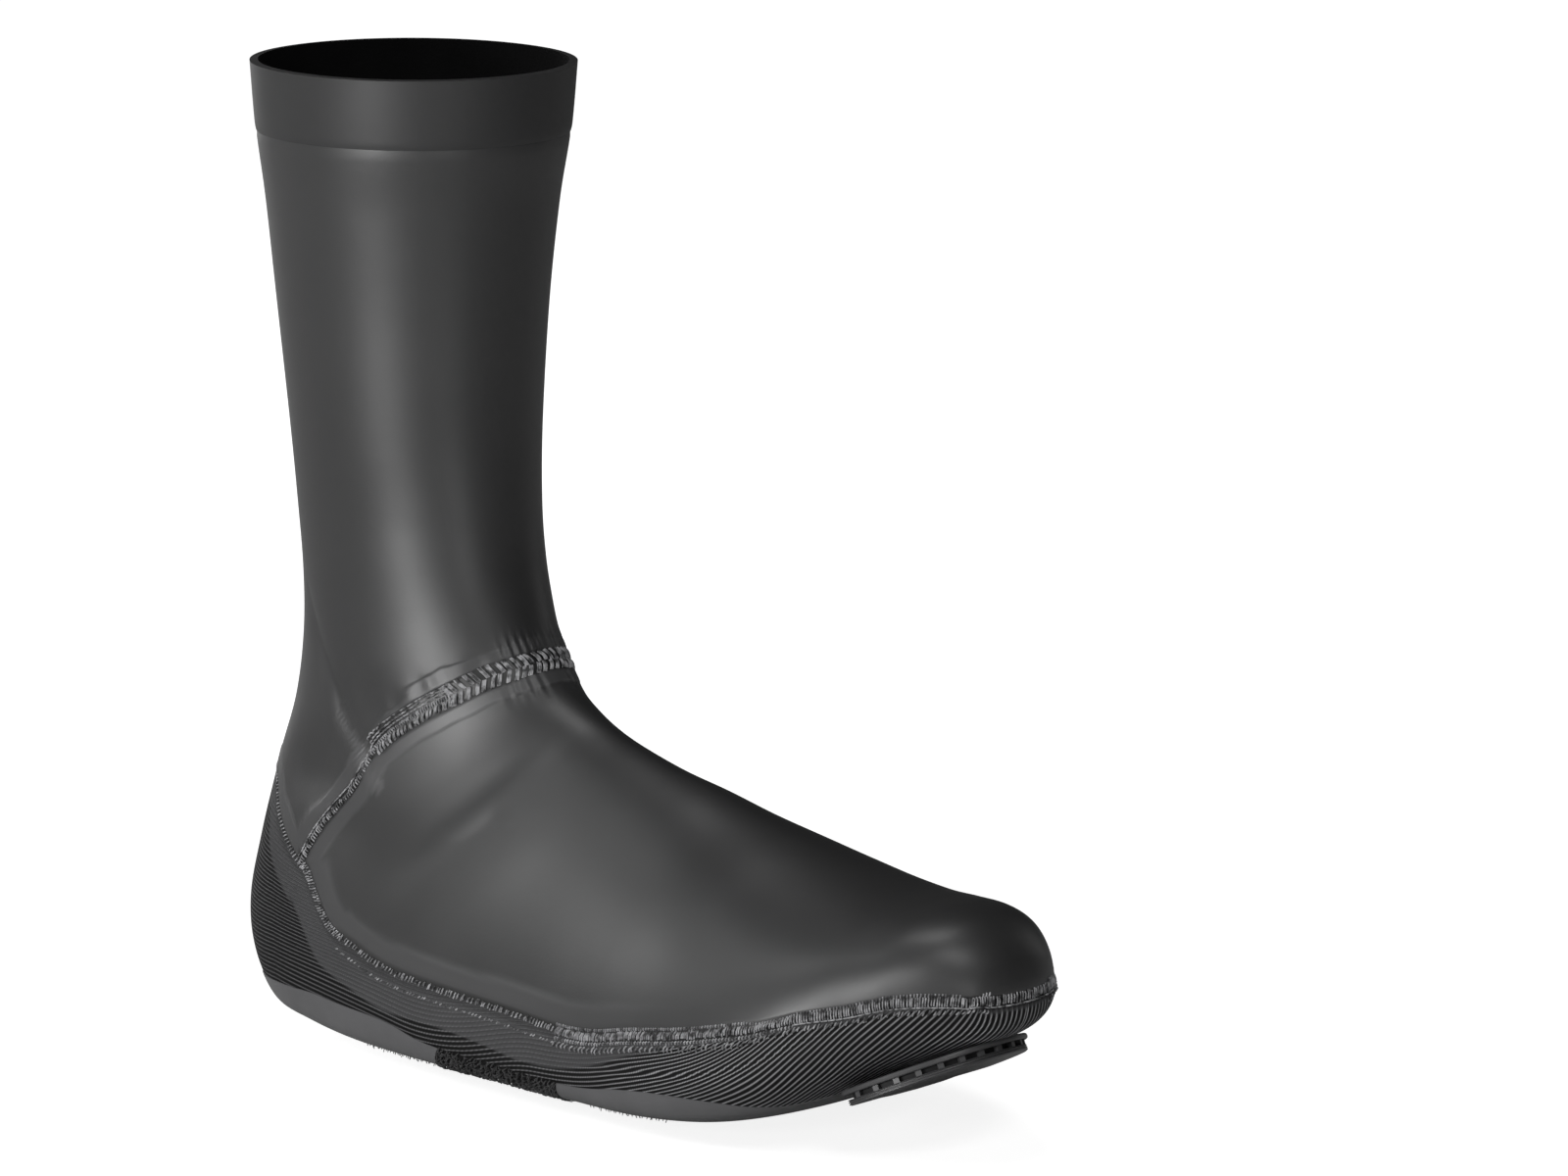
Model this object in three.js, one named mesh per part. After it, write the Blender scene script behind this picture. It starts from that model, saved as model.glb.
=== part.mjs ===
// Pull-on cycling overshoe for the right foot, shown as it sits over a shoe: a stretched leg tube with a
// doubled cuff, a smooth foot upper, a ribbed knit round heel, sides and toe, bonded hem tapes round the
// heel and cleat openings, a loop-fabric patch under the arch and a moulded guard under the toe.
// Millimetres. +X points to the toe, +Y to the inner side of the foot, +Z up.
// The origin is on the leg's axis, at the height of the lowest hem, where the shoe inside stands.

import * as THREE from "three";

// Driving sizes
const footLength = 281; // back of the heel to the tip of the toe
const legHeight = 286; // lowest hem to the cuff rim
const ankleHeight = 144; // lowest hem to the level where the leg starts to bend into the foot
const cuffDepth = 96; // front to back across the cuff rim
const cuffWidth = 90; // side to side across the cuff rim
const ballWidth = 101; // side to side across the ball of the foot
const clothWall = 1.5; // coated stretch cloth of the leg and the upper
const knitWall = 1.8; // ribbed knit
const cuffWall = 2.4; // turned and bonded cuff hem
const cuffRaise = 0.3; // how far the cuff hem stands off the leg
const tapeWall = 1.6; // hem tapes over the knit's edge
const patchWall = 2.0; // loop fabric under the arch
const seamGap = 0.3; // clear space where two pieces meet

// Toe guard
const guardRear = 239; // heel to the guard's straight rear edge
const guardFront = 277; // heel to the guard's front edge
const guardShoulder = 243; // heel to the guard's widest place
const guardWidth = 62; // side to side there
const guardSway = 4.6; // how far it sits towards the inner side, as the toe does
const guardClearance = 0.6; // between the knit and the guard
const flangeThickness = 1.3; // thin lip against the knit
const neckHeight = 1.3; // recess between the lip and the tread
const neckInset = 2.4; // how far the recess is set back from the lip
const treadHeight = 2.2; // moulded tread under the recess
const treadInset = 1.1; // how far the tread is set back from the lip
const treadGrooves = 3; // grooves round the side of the tread
const grooveDepth = 0.35;
const toeSpringAngle = 22; // degrees that the sole rises under the toe
const guardNose = { reach: guardFront - guardShoulder, lengthwise: 1.8, crosswise: 2.1 };
const guardTail = { reach: guardShoulder - guardRear, lengthwise: 4, crosswise: 6 };
const guardPoints = 44; // points round the guard's outline
const guardFaceRings = [0.9, 0.77, 0.55, 0.3]; // rings of its two faces, as shares of the outline
const toeUndersideStart = 20; // the section behind which the guard never reaches

// Level sections of the leg, from the cuff rim down: height as a share of legHeight, centre as a share of
// footLength from the heel, depth and width as shares of the cuff's.
const legSections = table(
  ["height", "centre", "depth", "width"],
  [
    [1.0, 0.185, 1.0, 1.0],
    [0.93, 0.184, 0.963, 0.967],
    [0.86, 0.182, 0.904, 0.905],
    [0.759, 0.181, 0.849, 0.833],
    [0.636, 0.184, 0.795, 0.767],
    [0.554, 0.188, 0.792, 0.716],
  ],
);

// Sections of the foot, fanning round the instep and then upright to the toe seam. Top and bottom points:
// x as a share of footLength, z as a share of ankleHeight. Half width and sway as shares of half the
// ballWidth. widest: how far down the section its widest level is. roundTop and roundBottom: superellipse
// powers above and below that level. bow: how far the sides stay behind the middle, share of footLength.
const footSections = table(
  ["topX", "topZ", "bottomX", "bottomZ", "half", "widest", "roundTop", "roundBottom", "sway", "bow"],
  [
    [0.33, 1.0, 0.058, 0.944, 0.62, 0.5, 2.05, 2.05, 0, 0],
    [0.341, 0.924, 0.056, 0.806, 0.614, 0.51, 2.05, 2.05, 0, 0],
    [0.353, 0.863, 0.046, 0.667, 0.626, 0.53, 2.05, 2.1, 0, 0],
    [0.368, 0.819, 0.025, 0.528, 0.653, 0.56, 2.05, 2.2, 0, 0],
    [0.384, 0.783, 0.008, 0.361, 0.683, 0.6, 2.0, 2.35, 0, 0],
    [0.401, 0.754, 0, 0.222, 0.709, 0.64, 1.95, 2.6, 0, 0],
    [0.423, 0.729, 0.017, 0.111, 0.723, 0.68, 1.9, 3.0, 0, 0],
    [0.448, 0.705, 0.06, 0.038, 0.733, 0.72, 1.85, 3.6, 0, 0],
    [0.476, 0.684, 0.12, 0.017, 0.741, 0.74, 1.85, 4.2, -0.01, 0],
    [0.512, 0.663, 0.202, 0.004, 0.76, 0.76, 1.85, 4.6, -0.02, 0],
    [0.551, 0.641, 0.309, 0, 0.8, 0.77, 1.85, 4.6, -0.02, 0],
    [0.597, 0.617, 0.416, 0, 0.859, 0.77, 1.85, 4.4, 0, 0],
    [0.647, 0.586, 0.522, 0, 0.931, 0.77, 1.85, 4.2, 0.02, 0],
    [0.7, 0.556, 0.629, 0.003, 0.99, 0.76, 1.9, 4.0, 0.04, 0],
    [0.75, 0.528, 0.718, 0.021, 1.0, 0.74, 1.95, 3.6, 0.06, 0],
    [0.8, 0.503, 0.793, 0.064, 0.947, 0.71, 2.05, 3.3, 0.07, 0.002],
    [0.846, 0.486, 0.846, 0.118, 0.844, 0.66, 2.2, 3.0, 0.083, 0.0035],
    [0.885, 0.482, 0.885, 0.16, 0.737, 0.62, 2.3, 2.7, 0.1, 0.005],
    [0.921, 0.481, 0.921, 0.192, 0.634, 0.58, 2.3, 2.6, 0.108, 0.007],
    [0.951, 0.469, 0.951, 0.219, 0.535, 0.57, 2.3, 2.5, 0.115, 0.0085],
    [0.974, 0.441, 0.974, 0.24, 0.44, 0.56, 2.3, 2.4, 0.12, 0.0095],
    [0.99, 0.403, 0.99, 0.264, 0.355, 0.55, 2.3, 2.4, 0.122, 0.01],
    [0.998, 0.362, 0.998, 0.294, 0.295, 0.53, 2.3, 2.4, 0.124, 0.0107],
    [1.0, 0.332, 1.0, 0.328, 0.27, 0.53, 2.3, 2.4, 0.125, 0.0107],
  ],
);

// The seam over the ankle: degrees round from the middle of the instep, and the section number there.
const ankleSeam = table(
  ["around", "section"],
  [
    [0, 9.1],
    [30, 9.15],
    [54, 9.4],
    [66, 9.65],
    [74, 10.25],
    [84, 10.8],
    [91, 11.3],
  ],
);

// Stations along one half of the knit, from the middle of the heel to the middle of the toe, the same on
// both sides. Each gives the section number and the degrees round of three lines: the knit's upper seam,
// its lower edge, and the edge of the openings in the sole. steps: strips up to the next station.
const knitStations = table(
  ["seam", "seamAround", "hem", "hemAround", "opening", "openingAround", "steps"],
  [
    [9.0, 180, 12.0, 180, 13.1, 180, 3],
    [9.2, 136, 12.4, 140, 13.25, 158, 2],
    [10.0, 112, 12.9, 118, 13.5, 148, 2],
    [11.3, 91, 13.5, 107, 13.9, 145, 3],
    [13.0, 86, 14.3, 101, 14.6, 144, 2],
    [14.6, 86, 15.3, 98, 15.45, 143, 2],
    [16.2, 85, 16.2, 105, 16.2, 142, 3],
    [18.0, 86, 18.0, 106, 18.0, 140, 2],
    [19.0, 83, 18.9, 98, 18.8, 140, 2],
    [20.4, 81, 19.7, 99, 19.5, 142, 2],
    [21.8, 83.5, 20.4, 109, 20.05, 147, 2],
    [23.2, 88, 20.9, 127, 20.4, 154, 2],
    [25.0, 89, 21.2, 142, 20.65, 162, 2],
    [27.0, 89, 21.5, 152, 20.8, 168, 3],
    [29.0, 90, 21.75, 162, 20.87, 173, 10],
    [29.0, 180, 22.0, 180, 20.9, 180, 0],
  ],
);
const anklePointStation = 3; // where the ankle seam runs into the knit's upper seam
const archRearStation = 6; // rear edge of the arch patch
const archFrontStation = 7; // front edge of the arch patch
const toeCornerStation = 14; // where the upper ends in the short seam across the toe

const cuffRows = 2; // strips down the cuff hem
const legRows = 17; // strips down the leg tube
const knitRows = 5; // strips from the knit's upper seam to its lower edge
const tapeRows = 3; // strips across a hem tape
const archInnerSteps = 5; // strips across each half of the arch patch, inside the tape lines
const cuffHemSection = 1; // the section where the cuff hem ends
const seamSlant = 1.15; // the grid's lines cross a seam at a slant, so they are cut back a little more

const legRoundness = 2.05; // superellipse power of the level sections
const legAxis = legSections[0].centre * footLength; // from the back of the heel to the origin
const toRadians = Math.PI / 180;
const blend = THREE.MathUtils.lerp;

// Every section in one list, from the cuff rim to the toe seam, in millimetres.
const sections = [
  ...legSections.map((row) => ({
    topX: row.centre * footLength + (row.depth * cuffDepth) / 2,
    topZ: row.height * legHeight,
    bottomX: row.centre * footLength - (row.depth * cuffDepth) / 2,
    bottomZ: row.height * legHeight,
    half: (row.width * cuffWidth) / 2,
    widest: 0.5,
    roundTop: legRoundness,
    roundBottom: legRoundness,
    sway: 0,
    bow: 0,
  })),
  ...footSections.map((row) => ({
    ...row,
    topX: row.topX * footLength,
    topZ: row.topZ * ankleHeight,
    bottomX: row.bottomX * footLength,
    bottomZ: row.bottomZ * ankleHeight,
    half: (row.half * ballWidth) / 2,
    sway: (row.sway * ballWidth) / 2,
    bow: row.bow * footLength,
  })),
];
const toeSection = sections.length - 1;

// A table's rows as objects, one value for each named column.
function table(columns, rows) {
  return rows.map((row) => Object.fromEntries(columns.map((name, index) => [name, row[index]])));
}

// A smooth curve through a list of rows: all columns at once, at any place between two rows.
function smoothRow(rows, place) {
  const whole = Math.min(Math.floor(place), rows.length - 2);
  const t = place - whole;
  const pick = (index) => rows[Math.min(Math.max(index, 0), rows.length - 1)];
  const [before, start, end, after] = [-1, 0, 1, 2].map((step) => pick(whole + step));
  const result = {};
  for (const column of Object.keys(start)) {
    const slope = end[column] - before[column];
    const bend = 2 * before[column] - 5 * start[column] + 4 * end[column] - after[column];
    const twist = -before[column] + 3 * start[column] - 3 * end[column] + after[column];
    result[column] = start[column] + (slope * t + bend * t * t + twist * t * t * t) / 2;
  }
  return result;
}

const range = (from, to, count) =>
  Array.from({ length: count + 1 }, (unused, index) => from + ((to - from) * index) / count);

const signedPower = (value, power) => Math.sign(value) * Math.abs(value) ** power;

// A point of the outer surface: section number, and degrees round from the top, inner side positive.
function skinPoint(section, around) {
  const row = smoothRow(sections, section);
  const cosine = Math.cos(around * toRadians);
  const sine = Math.sin(around * toRadians);
  const power = 2 / (cosine > 0 ? row.roundTop : row.roundBottom);
  const reach = cosine > 0 ? row.widest : 1 - row.widest;
  const across = signedPower(sine, power);
  const down = row.widest - signedPower(cosine, power) * reach;
  return new THREE.Vector3(
    blend(row.topX, row.bottomX, down) - row.bow * across * across - legAxis,
    row.sway + row.half * across,
    blend(row.topZ, row.bottomZ, down),
  );
}

// The section that the ankle seam crosses at an angle round the leg.
function ankleSection(around) {
  const angle = Math.abs(around);
  const next = Math.max(1, ankleSeam.findIndex((row) => row.around >= angle));
  const [start, end] = [ankleSeam[next - 1], ankleSeam[next]];
  return blend(start.section, end.section, (angle - start.around) / (end.around - start.around));
}

// The knit's stations with the strips between them filled in, from the heel's middle to the toe's.
const knitHalf = knitStations.flatMap((station, index) =>
  range(0, 1, station.steps || 1).slice(0, -1).map((t) => ({
    ...smoothRow(knitStations, index + t),
    seam: index >= toeCornerStation ? toeSection : smoothRow(knitStations, index + t).seam,
    station: index + t,
  })),
);
const indexOfStation = (station) => knitHalf.findIndex((row) => row.station === station);
const anklePoint = indexOfStation(anklePointStation);
const archRear = indexOfStation(archRearStation);
const archFront = indexOfStation(archFrontStation);
const toeCorner = indexOfStation(toeCornerStation);
const toeMiddle = knitHalf.length - 1;
const ankleAround = knitHalf[anklePoint].seamAround;

// A stretch of stations on the outer side (-1) or the inner side (1) of the foot.
const stretch = (from, to, side) => knitHalf.slice(from, to).map((row) => ({ ...row, side }));

// A point at a level of the knit: 0 on its upper seam, 1 on its lower edge, 2 on the edge of the opening.
function knitPoint(row, level) {
  const [section, around, nextSection, nextAround] =
    level < 1
      ? [row.seam, row.seamAround, row.hem, row.hemAround]
      : [row.hem, row.hemAround, row.opening, row.openingAround];
  const t = level < 1 ? level : level - 1;
  return skinPoint(blend(section, nextSection, t), row.side * blend(around, nextAround, t));
}

const upperShares = range(-1, 1, 2 * (toeMiddle - toeCorner)); // strips across the upper, as shares of half

// The leg's lower edge, once round: the ankle seam in front, the top of the heel knit behind.
function legLowerEdge() {
  const front = upperShares.map((share) => share * ankleAround);
  const heel = knitHalf.slice(0, anklePoint);
  return [
    ...front.map((around) => ({ around, section: ankleSection(around) })),
    ...[...heel].reverse().map((row) => ({ around: row.seamAround, section: row.seam })),
    ...heel.slice(1).map((row) => ({ around: 360 - row.seamAround, section: row.seam })),
  ];
}
const lowerEdge = legLowerEdge();
const evenAround = (index) => (index * 360) / lowerEdge.length - ankleAround;

const cuffGrid = () =>
  range(0, cuffHemSection, cuffRows).map((section) =>
    lowerEdge.map((unused, index) => skinPoint(section, evenAround(index))),
  );

const legGrid = () =>
  range(0, 1, legRows).map((t) =>
    lowerEdge.map((end, index) =>
      skinPoint(blend(cuffHemSection, end.section, t), blend(evenAround(index), end.around, t * t)),
    ),
  );

function upperGrid() {
  const rows = knitHalf.slice(anklePoint, toeCorner + 1);
  const rear = rows[0].seam;
  return rows.map((row) => {
    const t = (row.seam - rear) / (toeSection - rear);
    return upperShares.map((share) =>
      skinPoint(blend(ankleSection(share * ankleAround), toeSection, t), share * row.seamAround),
    );
  });
}

function knitGrid() {
  const outer = stretch(0, toeMiddle + 1, -1);
  const inner = stretch(1, toeMiddle, 1).reverse();
  return range(0, 1, knitRows).map((level) => [...outer, ...inner].map((row) => knitPoint(row, level)));
}

// A hem tape: a band from the knit's lower edge to the opening, over a run of stations.
const tapeGrid = (run) => range(1, 2, tapeRows).map((level) => run.map((row) => knitPoint(row, level)));

const heelTapeGrid = () =>
  tapeGrid([...stretch(0, archRear + 1, -1).reverse(), ...stretch(1, archRear + 1, 1)]);

const cleatTapeGrid = () =>
  tapeGrid([...stretch(archFront, toeMiddle + 1, -1), ...stretch(archFront, toeMiddle, 1).reverse()]);

function archGrid() {
  return stretch(archRear, archFront + 1, -1).map((row) => {
    const under = range(row.openingAround, 360 - row.openingAround, 2 * archInnerSteps).slice(1, -1);
    return [
      ...range(1, 2, tapeRows).map((level) => knitPoint(row, level)),
      ...under.map((around) => skinPoint(row.opening, -around)),
      ...range(2, 1, tapeRows).map((level) => knitPoint({ ...row, side: 1 }, level)),
    ];
  });
}

// Every cloth panel. grid: points of its outer face, row by row. closed: each row runs once round. wall and
// raise: its thickness, and how far its outer face stands off the skin. outward: 1 where a step along a
// row and a step to the next row turn outwards. first, last and ends: which edges meet a neighbour.
const panels = [
  {
    name: "cuff_hem", grid: cuffGrid(), closed: true, wall: cuffWall, raise: cuffRaise,
    outward: -1, first: false, last: true, ends: false,
  },
  {
    name: "leg_tube", grid: legGrid(), closed: true, wall: clothWall, raise: 0,
    outward: -1, first: true, last: true, ends: false,
  },
  {
    name: "foot_upper", grid: upperGrid(), closed: false, wall: clothWall, raise: 0,
    outward: -1, first: true, last: true, ends: true,
  },
  {
    name: "sole_knit", grid: knitGrid(), closed: true, wall: knitWall, raise: 0,
    outward: -1, first: true, last: true, ends: false,
  },
  {
    name: "heel_hem_tape", grid: heelTapeGrid(), closed: false, wall: tapeWall, raise: 0,
    outward: 1, first: true, last: false, ends: true,
  },
  {
    name: "cleat_hem_tape", grid: cleatTapeGrid(), closed: false, wall: tapeWall, raise: 0,
    outward: -1, first: true, last: false, ends: true,
  },
  {
    name: "arch_patch", grid: archGrid(), closed: false, wall: patchWall, raise: 0,
    outward: 1, first: true, last: true, ends: true,
  },
];

// Calls back with the corners of each four-sided cell, in order round it.
function eachCell({ grid, closed }, visit) {
  const columns = grid[0].length;
  const spans = closed ? columns : columns - 1;
  for (let row = 0; row + 1 < grid.length; row += 1) {
    for (let column = 0; column < spans; column += 1) {
      const next = (column + 1) % columns;
      visit([row, column], [row, next], [row + 1, next], [row + 1, column]);
    }
  }
}

const keyOf = (point) => point.toArray().map((value) => Math.round(value * 1000)).join(",");

// Smooth outward directions at every grid point, the same for panels that meet there.
function outwardDirections() {
  const sums = new Map();
  for (const panel of panels) {
    eachCell(panel, (...cell) => {
      const corners = cell.map(([row, column]) => panel.grid[row][column]);
      const diagonal = corners[2].clone().sub(corners[0]);
      const face = diagonal.cross(corners[3].clone().sub(corners[1])).multiplyScalar(panel.outward);
      for (const corner of corners) {
        const key = keyOf(corner);
        sums.set(key, (sums.get(key) ?? new THREE.Vector3()).add(face));
      }
    });
  }
  return sums;
}

// The panel's grid with the edges that meet a neighbour cut back by half the gap.
function cutBack({ grid, closed, first, last, ends }) {
  const moved = grid.map((row) => row.map((point) => point.clone()));
  const pull = (row, column, towardRow, towardColumn) => {
    const step = grid[towardRow][towardColumn].clone().sub(grid[row][column]);
    moved[row][column].add(step.setLength((seamGap * seamSlant) / 2));
  };
  const lastRow = grid.length - 1;
  const lastColumn = grid[0].length - 1;
  for (let column = 0; column <= lastColumn; column += 1) {
    if (first) {
      pull(0, column, 1, column);
    }
    if (last) {
      pull(lastRow, column, lastRow - 1, column);
    }
  }
  if (!closed && ends) {
    for (let row = 0; row <= lastRow; row += 1) {
      pull(row, 0, row, 1);
      pull(row, lastColumn, row, lastColumn - 1);
    }
  }
  return moved;
}

function bodyGeometry(positions, triangles) {
  const geometry = new THREE.BufferGeometry();
  geometry.setAttribute("position", new THREE.Float32BufferAttribute(positions, 3));
  geometry.setIndex(triangles);
  geometry.computeVertexNormals();
  return geometry;
}

// One closed body: the outer face, the inner face a wall's thickness inside it, and strips along the edges.
function panelGeometry(panel, directions) {
  const rows = panel.grid.length;
  const columns = panel.grid[0].length;
  const places = cutBack(panel).flat();
  const outwards = panel.grid.flat().map((point) => directions.get(keyOf(point)).clone().normalize());
  const positions = [panel.raise, panel.raise - panel.wall].flatMap((depth) =>
    places.flatMap((point, index) => point.clone().addScaledVector(outwards[index], depth).toArray()),
  );
  const outer = ([row, column]) => row * columns + column;
  const inner = (place) => rows * columns + outer(place);
  const triangles = [];
  const quad = (a, b, c, d) => {
    triangles.push(...(panel.outward > 0 ? [a, b, c, a, c, d] : [a, c, b, a, d, c]));
  };
  const strip = (from, to) => quad(outer(from), outer(to), inner(to), inner(from));
  eachCell(panel, (a, b, c, d) => {
    quad(outer(a), outer(b), outer(c), outer(d));
    quad(inner(a), inner(d), inner(c), inner(b));
    if (a[0] === 0) {
      strip(b, a);
    }
    if (d[0] === rows - 1) {
      strip(d, c);
    }
    if (!panel.closed && a[1] === 0) {
      strip(a, d);
    }
    if (!panel.closed && b[1] === columns - 1) {
      strip(c, b);
    }
  });
  return bodyGeometry(positions, triangles);
}

// The height of the toe's underside at a place in plan. The section there is found by halving.
function toeUnderside(fromHeel, across) {
  const at = (section) => {
    const row = smoothRow(sections, section);
    const share = Math.min(Math.abs(across - row.sway) / row.half, 1);
    const drop = (1 - share ** row.roundBottom) ** (1 / row.roundBottom);
    const down = row.widest + (1 - row.widest) * drop;
    return {
      x: blend(row.topX, row.bottomX, down) - row.bow * share * share,
      z: blend(row.topZ, row.bottomZ, down),
    };
  };
  let low = toeUndersideStart;
  let high = toeSection;
  for (let turn = 0; turn < 30; turn += 1) {
    const middle = (low + high) / 2;
    if (at(middle).x < fromHeel) {
      low = middle;
    } else {
      high = middle;
    }
  }
  return at(low).z;
}

// The guard's outline in plan, straight behind and round in front, set back by an inset.
function guardOutline(inset) {
  return range(0, 360, guardPoints).slice(0, -1).map((degrees) => {
    const cosine = Math.cos(degrees * toRadians);
    const sine = Math.sin(degrees * toRadians);
    const shape = cosine > 0 ? guardNose : guardTail;
    return [
      guardShoulder + signedPower(cosine, 2 / shape.lengthwise) * (shape.reach - inset),
      guardSway + signedPower(sine, 2 / shape.crosswise) * (guardWidth / 2 - inset),
    ];
  });
}

// The guard's outlines from top to bottom: lip, recess, and tread with grooves round its side.
function guardLevels() {
  const treadTop = flangeThickness + neckHeight;
  const grooveStep = treadHeight / (treadGrooves * 2 + 1);
  const grooves = range(0, treadGrooves - 1, treadGrooves - 1).flatMap((groove) => {
    const top = treadTop + grooveStep * (2 * groove + 1);
    return [
      { depth: top, inset: treadInset },
      { depth: top + grooveStep / 2, inset: treadInset + grooveDepth },
      { depth: top + grooveStep, inset: treadInset },
    ];
  });
  return [
    { depth: 0, inset: 0 },
    { depth: flangeThickness, inset: 0 },
    { depth: flangeThickness, inset: neckInset },
    { depth: treadTop, inset: neckInset },
    { depth: treadTop, inset: treadInset },
    ...grooves,
    { depth: treadTop + treadHeight, inset: treadInset + grooveDepth },
  ];
}

// The guard: its outlines stacked under the knit, closed by a face that follows the knit and by the tread.
function guardGeometry() {
  const slope = toeSpringAngle * toRadians;
  const down = new THREE.Vector3(Math.sin(slope), 0, -Math.cos(slope));
  const place = (x, y, depth) =>
    new THREE.Vector3(x - legAxis, y, toeUnderside(x, y)).addScaledVector(down, guardClearance + depth);
  const middle = [blend(guardShoulder, guardFront, 0.3), guardSway];
  const ring = (share, { inset, depth }) =>
    guardOutline(inset).map(([x, y]) => place(blend(middle[0], x, share), blend(middle[1], y, share), depth));
  const levels = guardLevels();
  const bottom = levels[levels.length - 1];
  const rings = [
    ...[...guardFaceRings].reverse().map((share) => ring(share, levels[0])),
    ...levels.map((level) => ring(1, level)),
    ...guardFaceRings.map((share) => ring(share, bottom)),
  ];
  const points = [...rings.flat(), place(...middle, 0), place(...middle, bottom.depth)];
  const topMiddle = points.length - 2;
  const bottomMiddle = points.length - 1;
  const lastRing = (rings.length - 1) * guardPoints;
  const triangles = [];
  for (let step = 0; step < guardPoints; step += 1) {
    const next = (step + 1) % guardPoints;
    triangles.push(topMiddle, step, next);
    for (let start = 0; start < lastRing; start += guardPoints) {
      const below = start + guardPoints;
      triangles.push(start + step, below + step, below + next);
      triangles.push(start + step, below + next, start + next);
    }
    triangles.push(bottomMiddle, lastRing + next, lastRing + step);
  }
  return bodyGeometry(points.flatMap((point) => point.toArray()), triangles);
}

const coatedCloth = { color: 0x46464a, roughness: 0.48, metalness: 0 };
const ribbedKnit = { color: 0x2b2b2e, roughness: 0.8, metalness: 0 };
const bondedTape = { color: 0x4a4a4d, roughness: 0.42, metalness: 0 };
const loopCloth = { color: 0x101011, roughness: 0.95, metalness: 0 };
const mouldedRubber = { color: 0x2c2c2e, roughness: 0.4, metalness: 0 };
const looks = {
  cuff_hem: coatedCloth,
  leg_tube: coatedCloth,
  foot_upper: coatedCloth,
  sole_knit: ribbedKnit,
  heel_hem_tape: bondedTape,
  cleat_hem_tape: bondedTape,
  arch_patch: loopCloth,
  toe_guard: mouldedRubber,
};

const overshoe = new THREE.Group();

function addPiece(name, geometry) {
  const mesh = new THREE.Mesh(geometry, new THREE.MeshStandardMaterial(looks[name]));
  mesh.name = name;
  overshoe.add(mesh);
}

const directions = outwardDirections();
panels.forEach((panel) => addPiece(panel.name, panelGeometry(panel, directions)));
addPiece("toe_guard", guardGeometry());

export default overshoe;
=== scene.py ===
# The looks of a pull-on cycling overshoe: coated stretch cloth for the leg and the foot, a ribbed knit round
# heel, sides and toe, bonded tapes, flat stitched seams, a loop patch under the arch and a toe guard.
# Metres. +X points to the toe, +Y to the inner side of the foot, +Z up.

import math
import random

import bmesh
import bpy
import numpy as np
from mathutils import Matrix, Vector
from mathutils.bvhtree import BVHTree
from mathutils.kdtree import KDTree


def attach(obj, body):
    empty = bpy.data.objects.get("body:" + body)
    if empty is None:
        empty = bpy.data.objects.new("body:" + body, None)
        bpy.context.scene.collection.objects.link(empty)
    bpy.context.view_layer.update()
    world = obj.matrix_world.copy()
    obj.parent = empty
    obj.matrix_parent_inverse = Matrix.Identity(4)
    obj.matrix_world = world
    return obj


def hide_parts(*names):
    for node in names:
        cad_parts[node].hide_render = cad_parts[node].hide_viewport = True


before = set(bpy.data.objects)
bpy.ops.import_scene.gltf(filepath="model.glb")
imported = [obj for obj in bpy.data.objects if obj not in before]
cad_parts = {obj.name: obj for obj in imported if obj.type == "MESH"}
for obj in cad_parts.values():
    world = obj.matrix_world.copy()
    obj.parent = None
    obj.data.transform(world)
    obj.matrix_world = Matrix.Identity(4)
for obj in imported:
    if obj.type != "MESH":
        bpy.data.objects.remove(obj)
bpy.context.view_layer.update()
MM = 0.001

# Driving sizes of the overshoe
FOOT_LENGTH = 281 * MM
LEG_HEIGHT = 286 * MM
ANKLE_HEIGHT = 144 * MM
CUFF_DEPTH = 96 * MM
CUFF_WIDTH = 90 * MM
BALL_WIDTH = 101 * MM
CLOTH_WALL = 1.5 * MM
KNIT_WALL = 1.8 * MM
CUFF_WALL = 2.4 * MM
CUFF_RAISE = 0.2 * MM
TAPE_WALL = 1.6 * MM
PATCH_WALL = 2.0 * MM
LEG_ROUNDNESS = 2.05

# Level sections of the leg, from the cuff rim down: height as a share of LEG_HEIGHT, centre as a share of
# FOOT_LENGTH from the heel, depth and width as shares of the cuff's.
LEG_SECTIONS = np.array([
    [1.0, 0.185, 1.0, 1.0],
    [0.93, 0.184, 0.963, 0.967],
    [0.86, 0.182, 0.904, 0.905],
    [0.759, 0.181, 0.849, 0.833],
    [0.636, 0.184, 0.795, 0.767],
    [0.554, 0.188, 0.792, 0.716],
])

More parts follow.
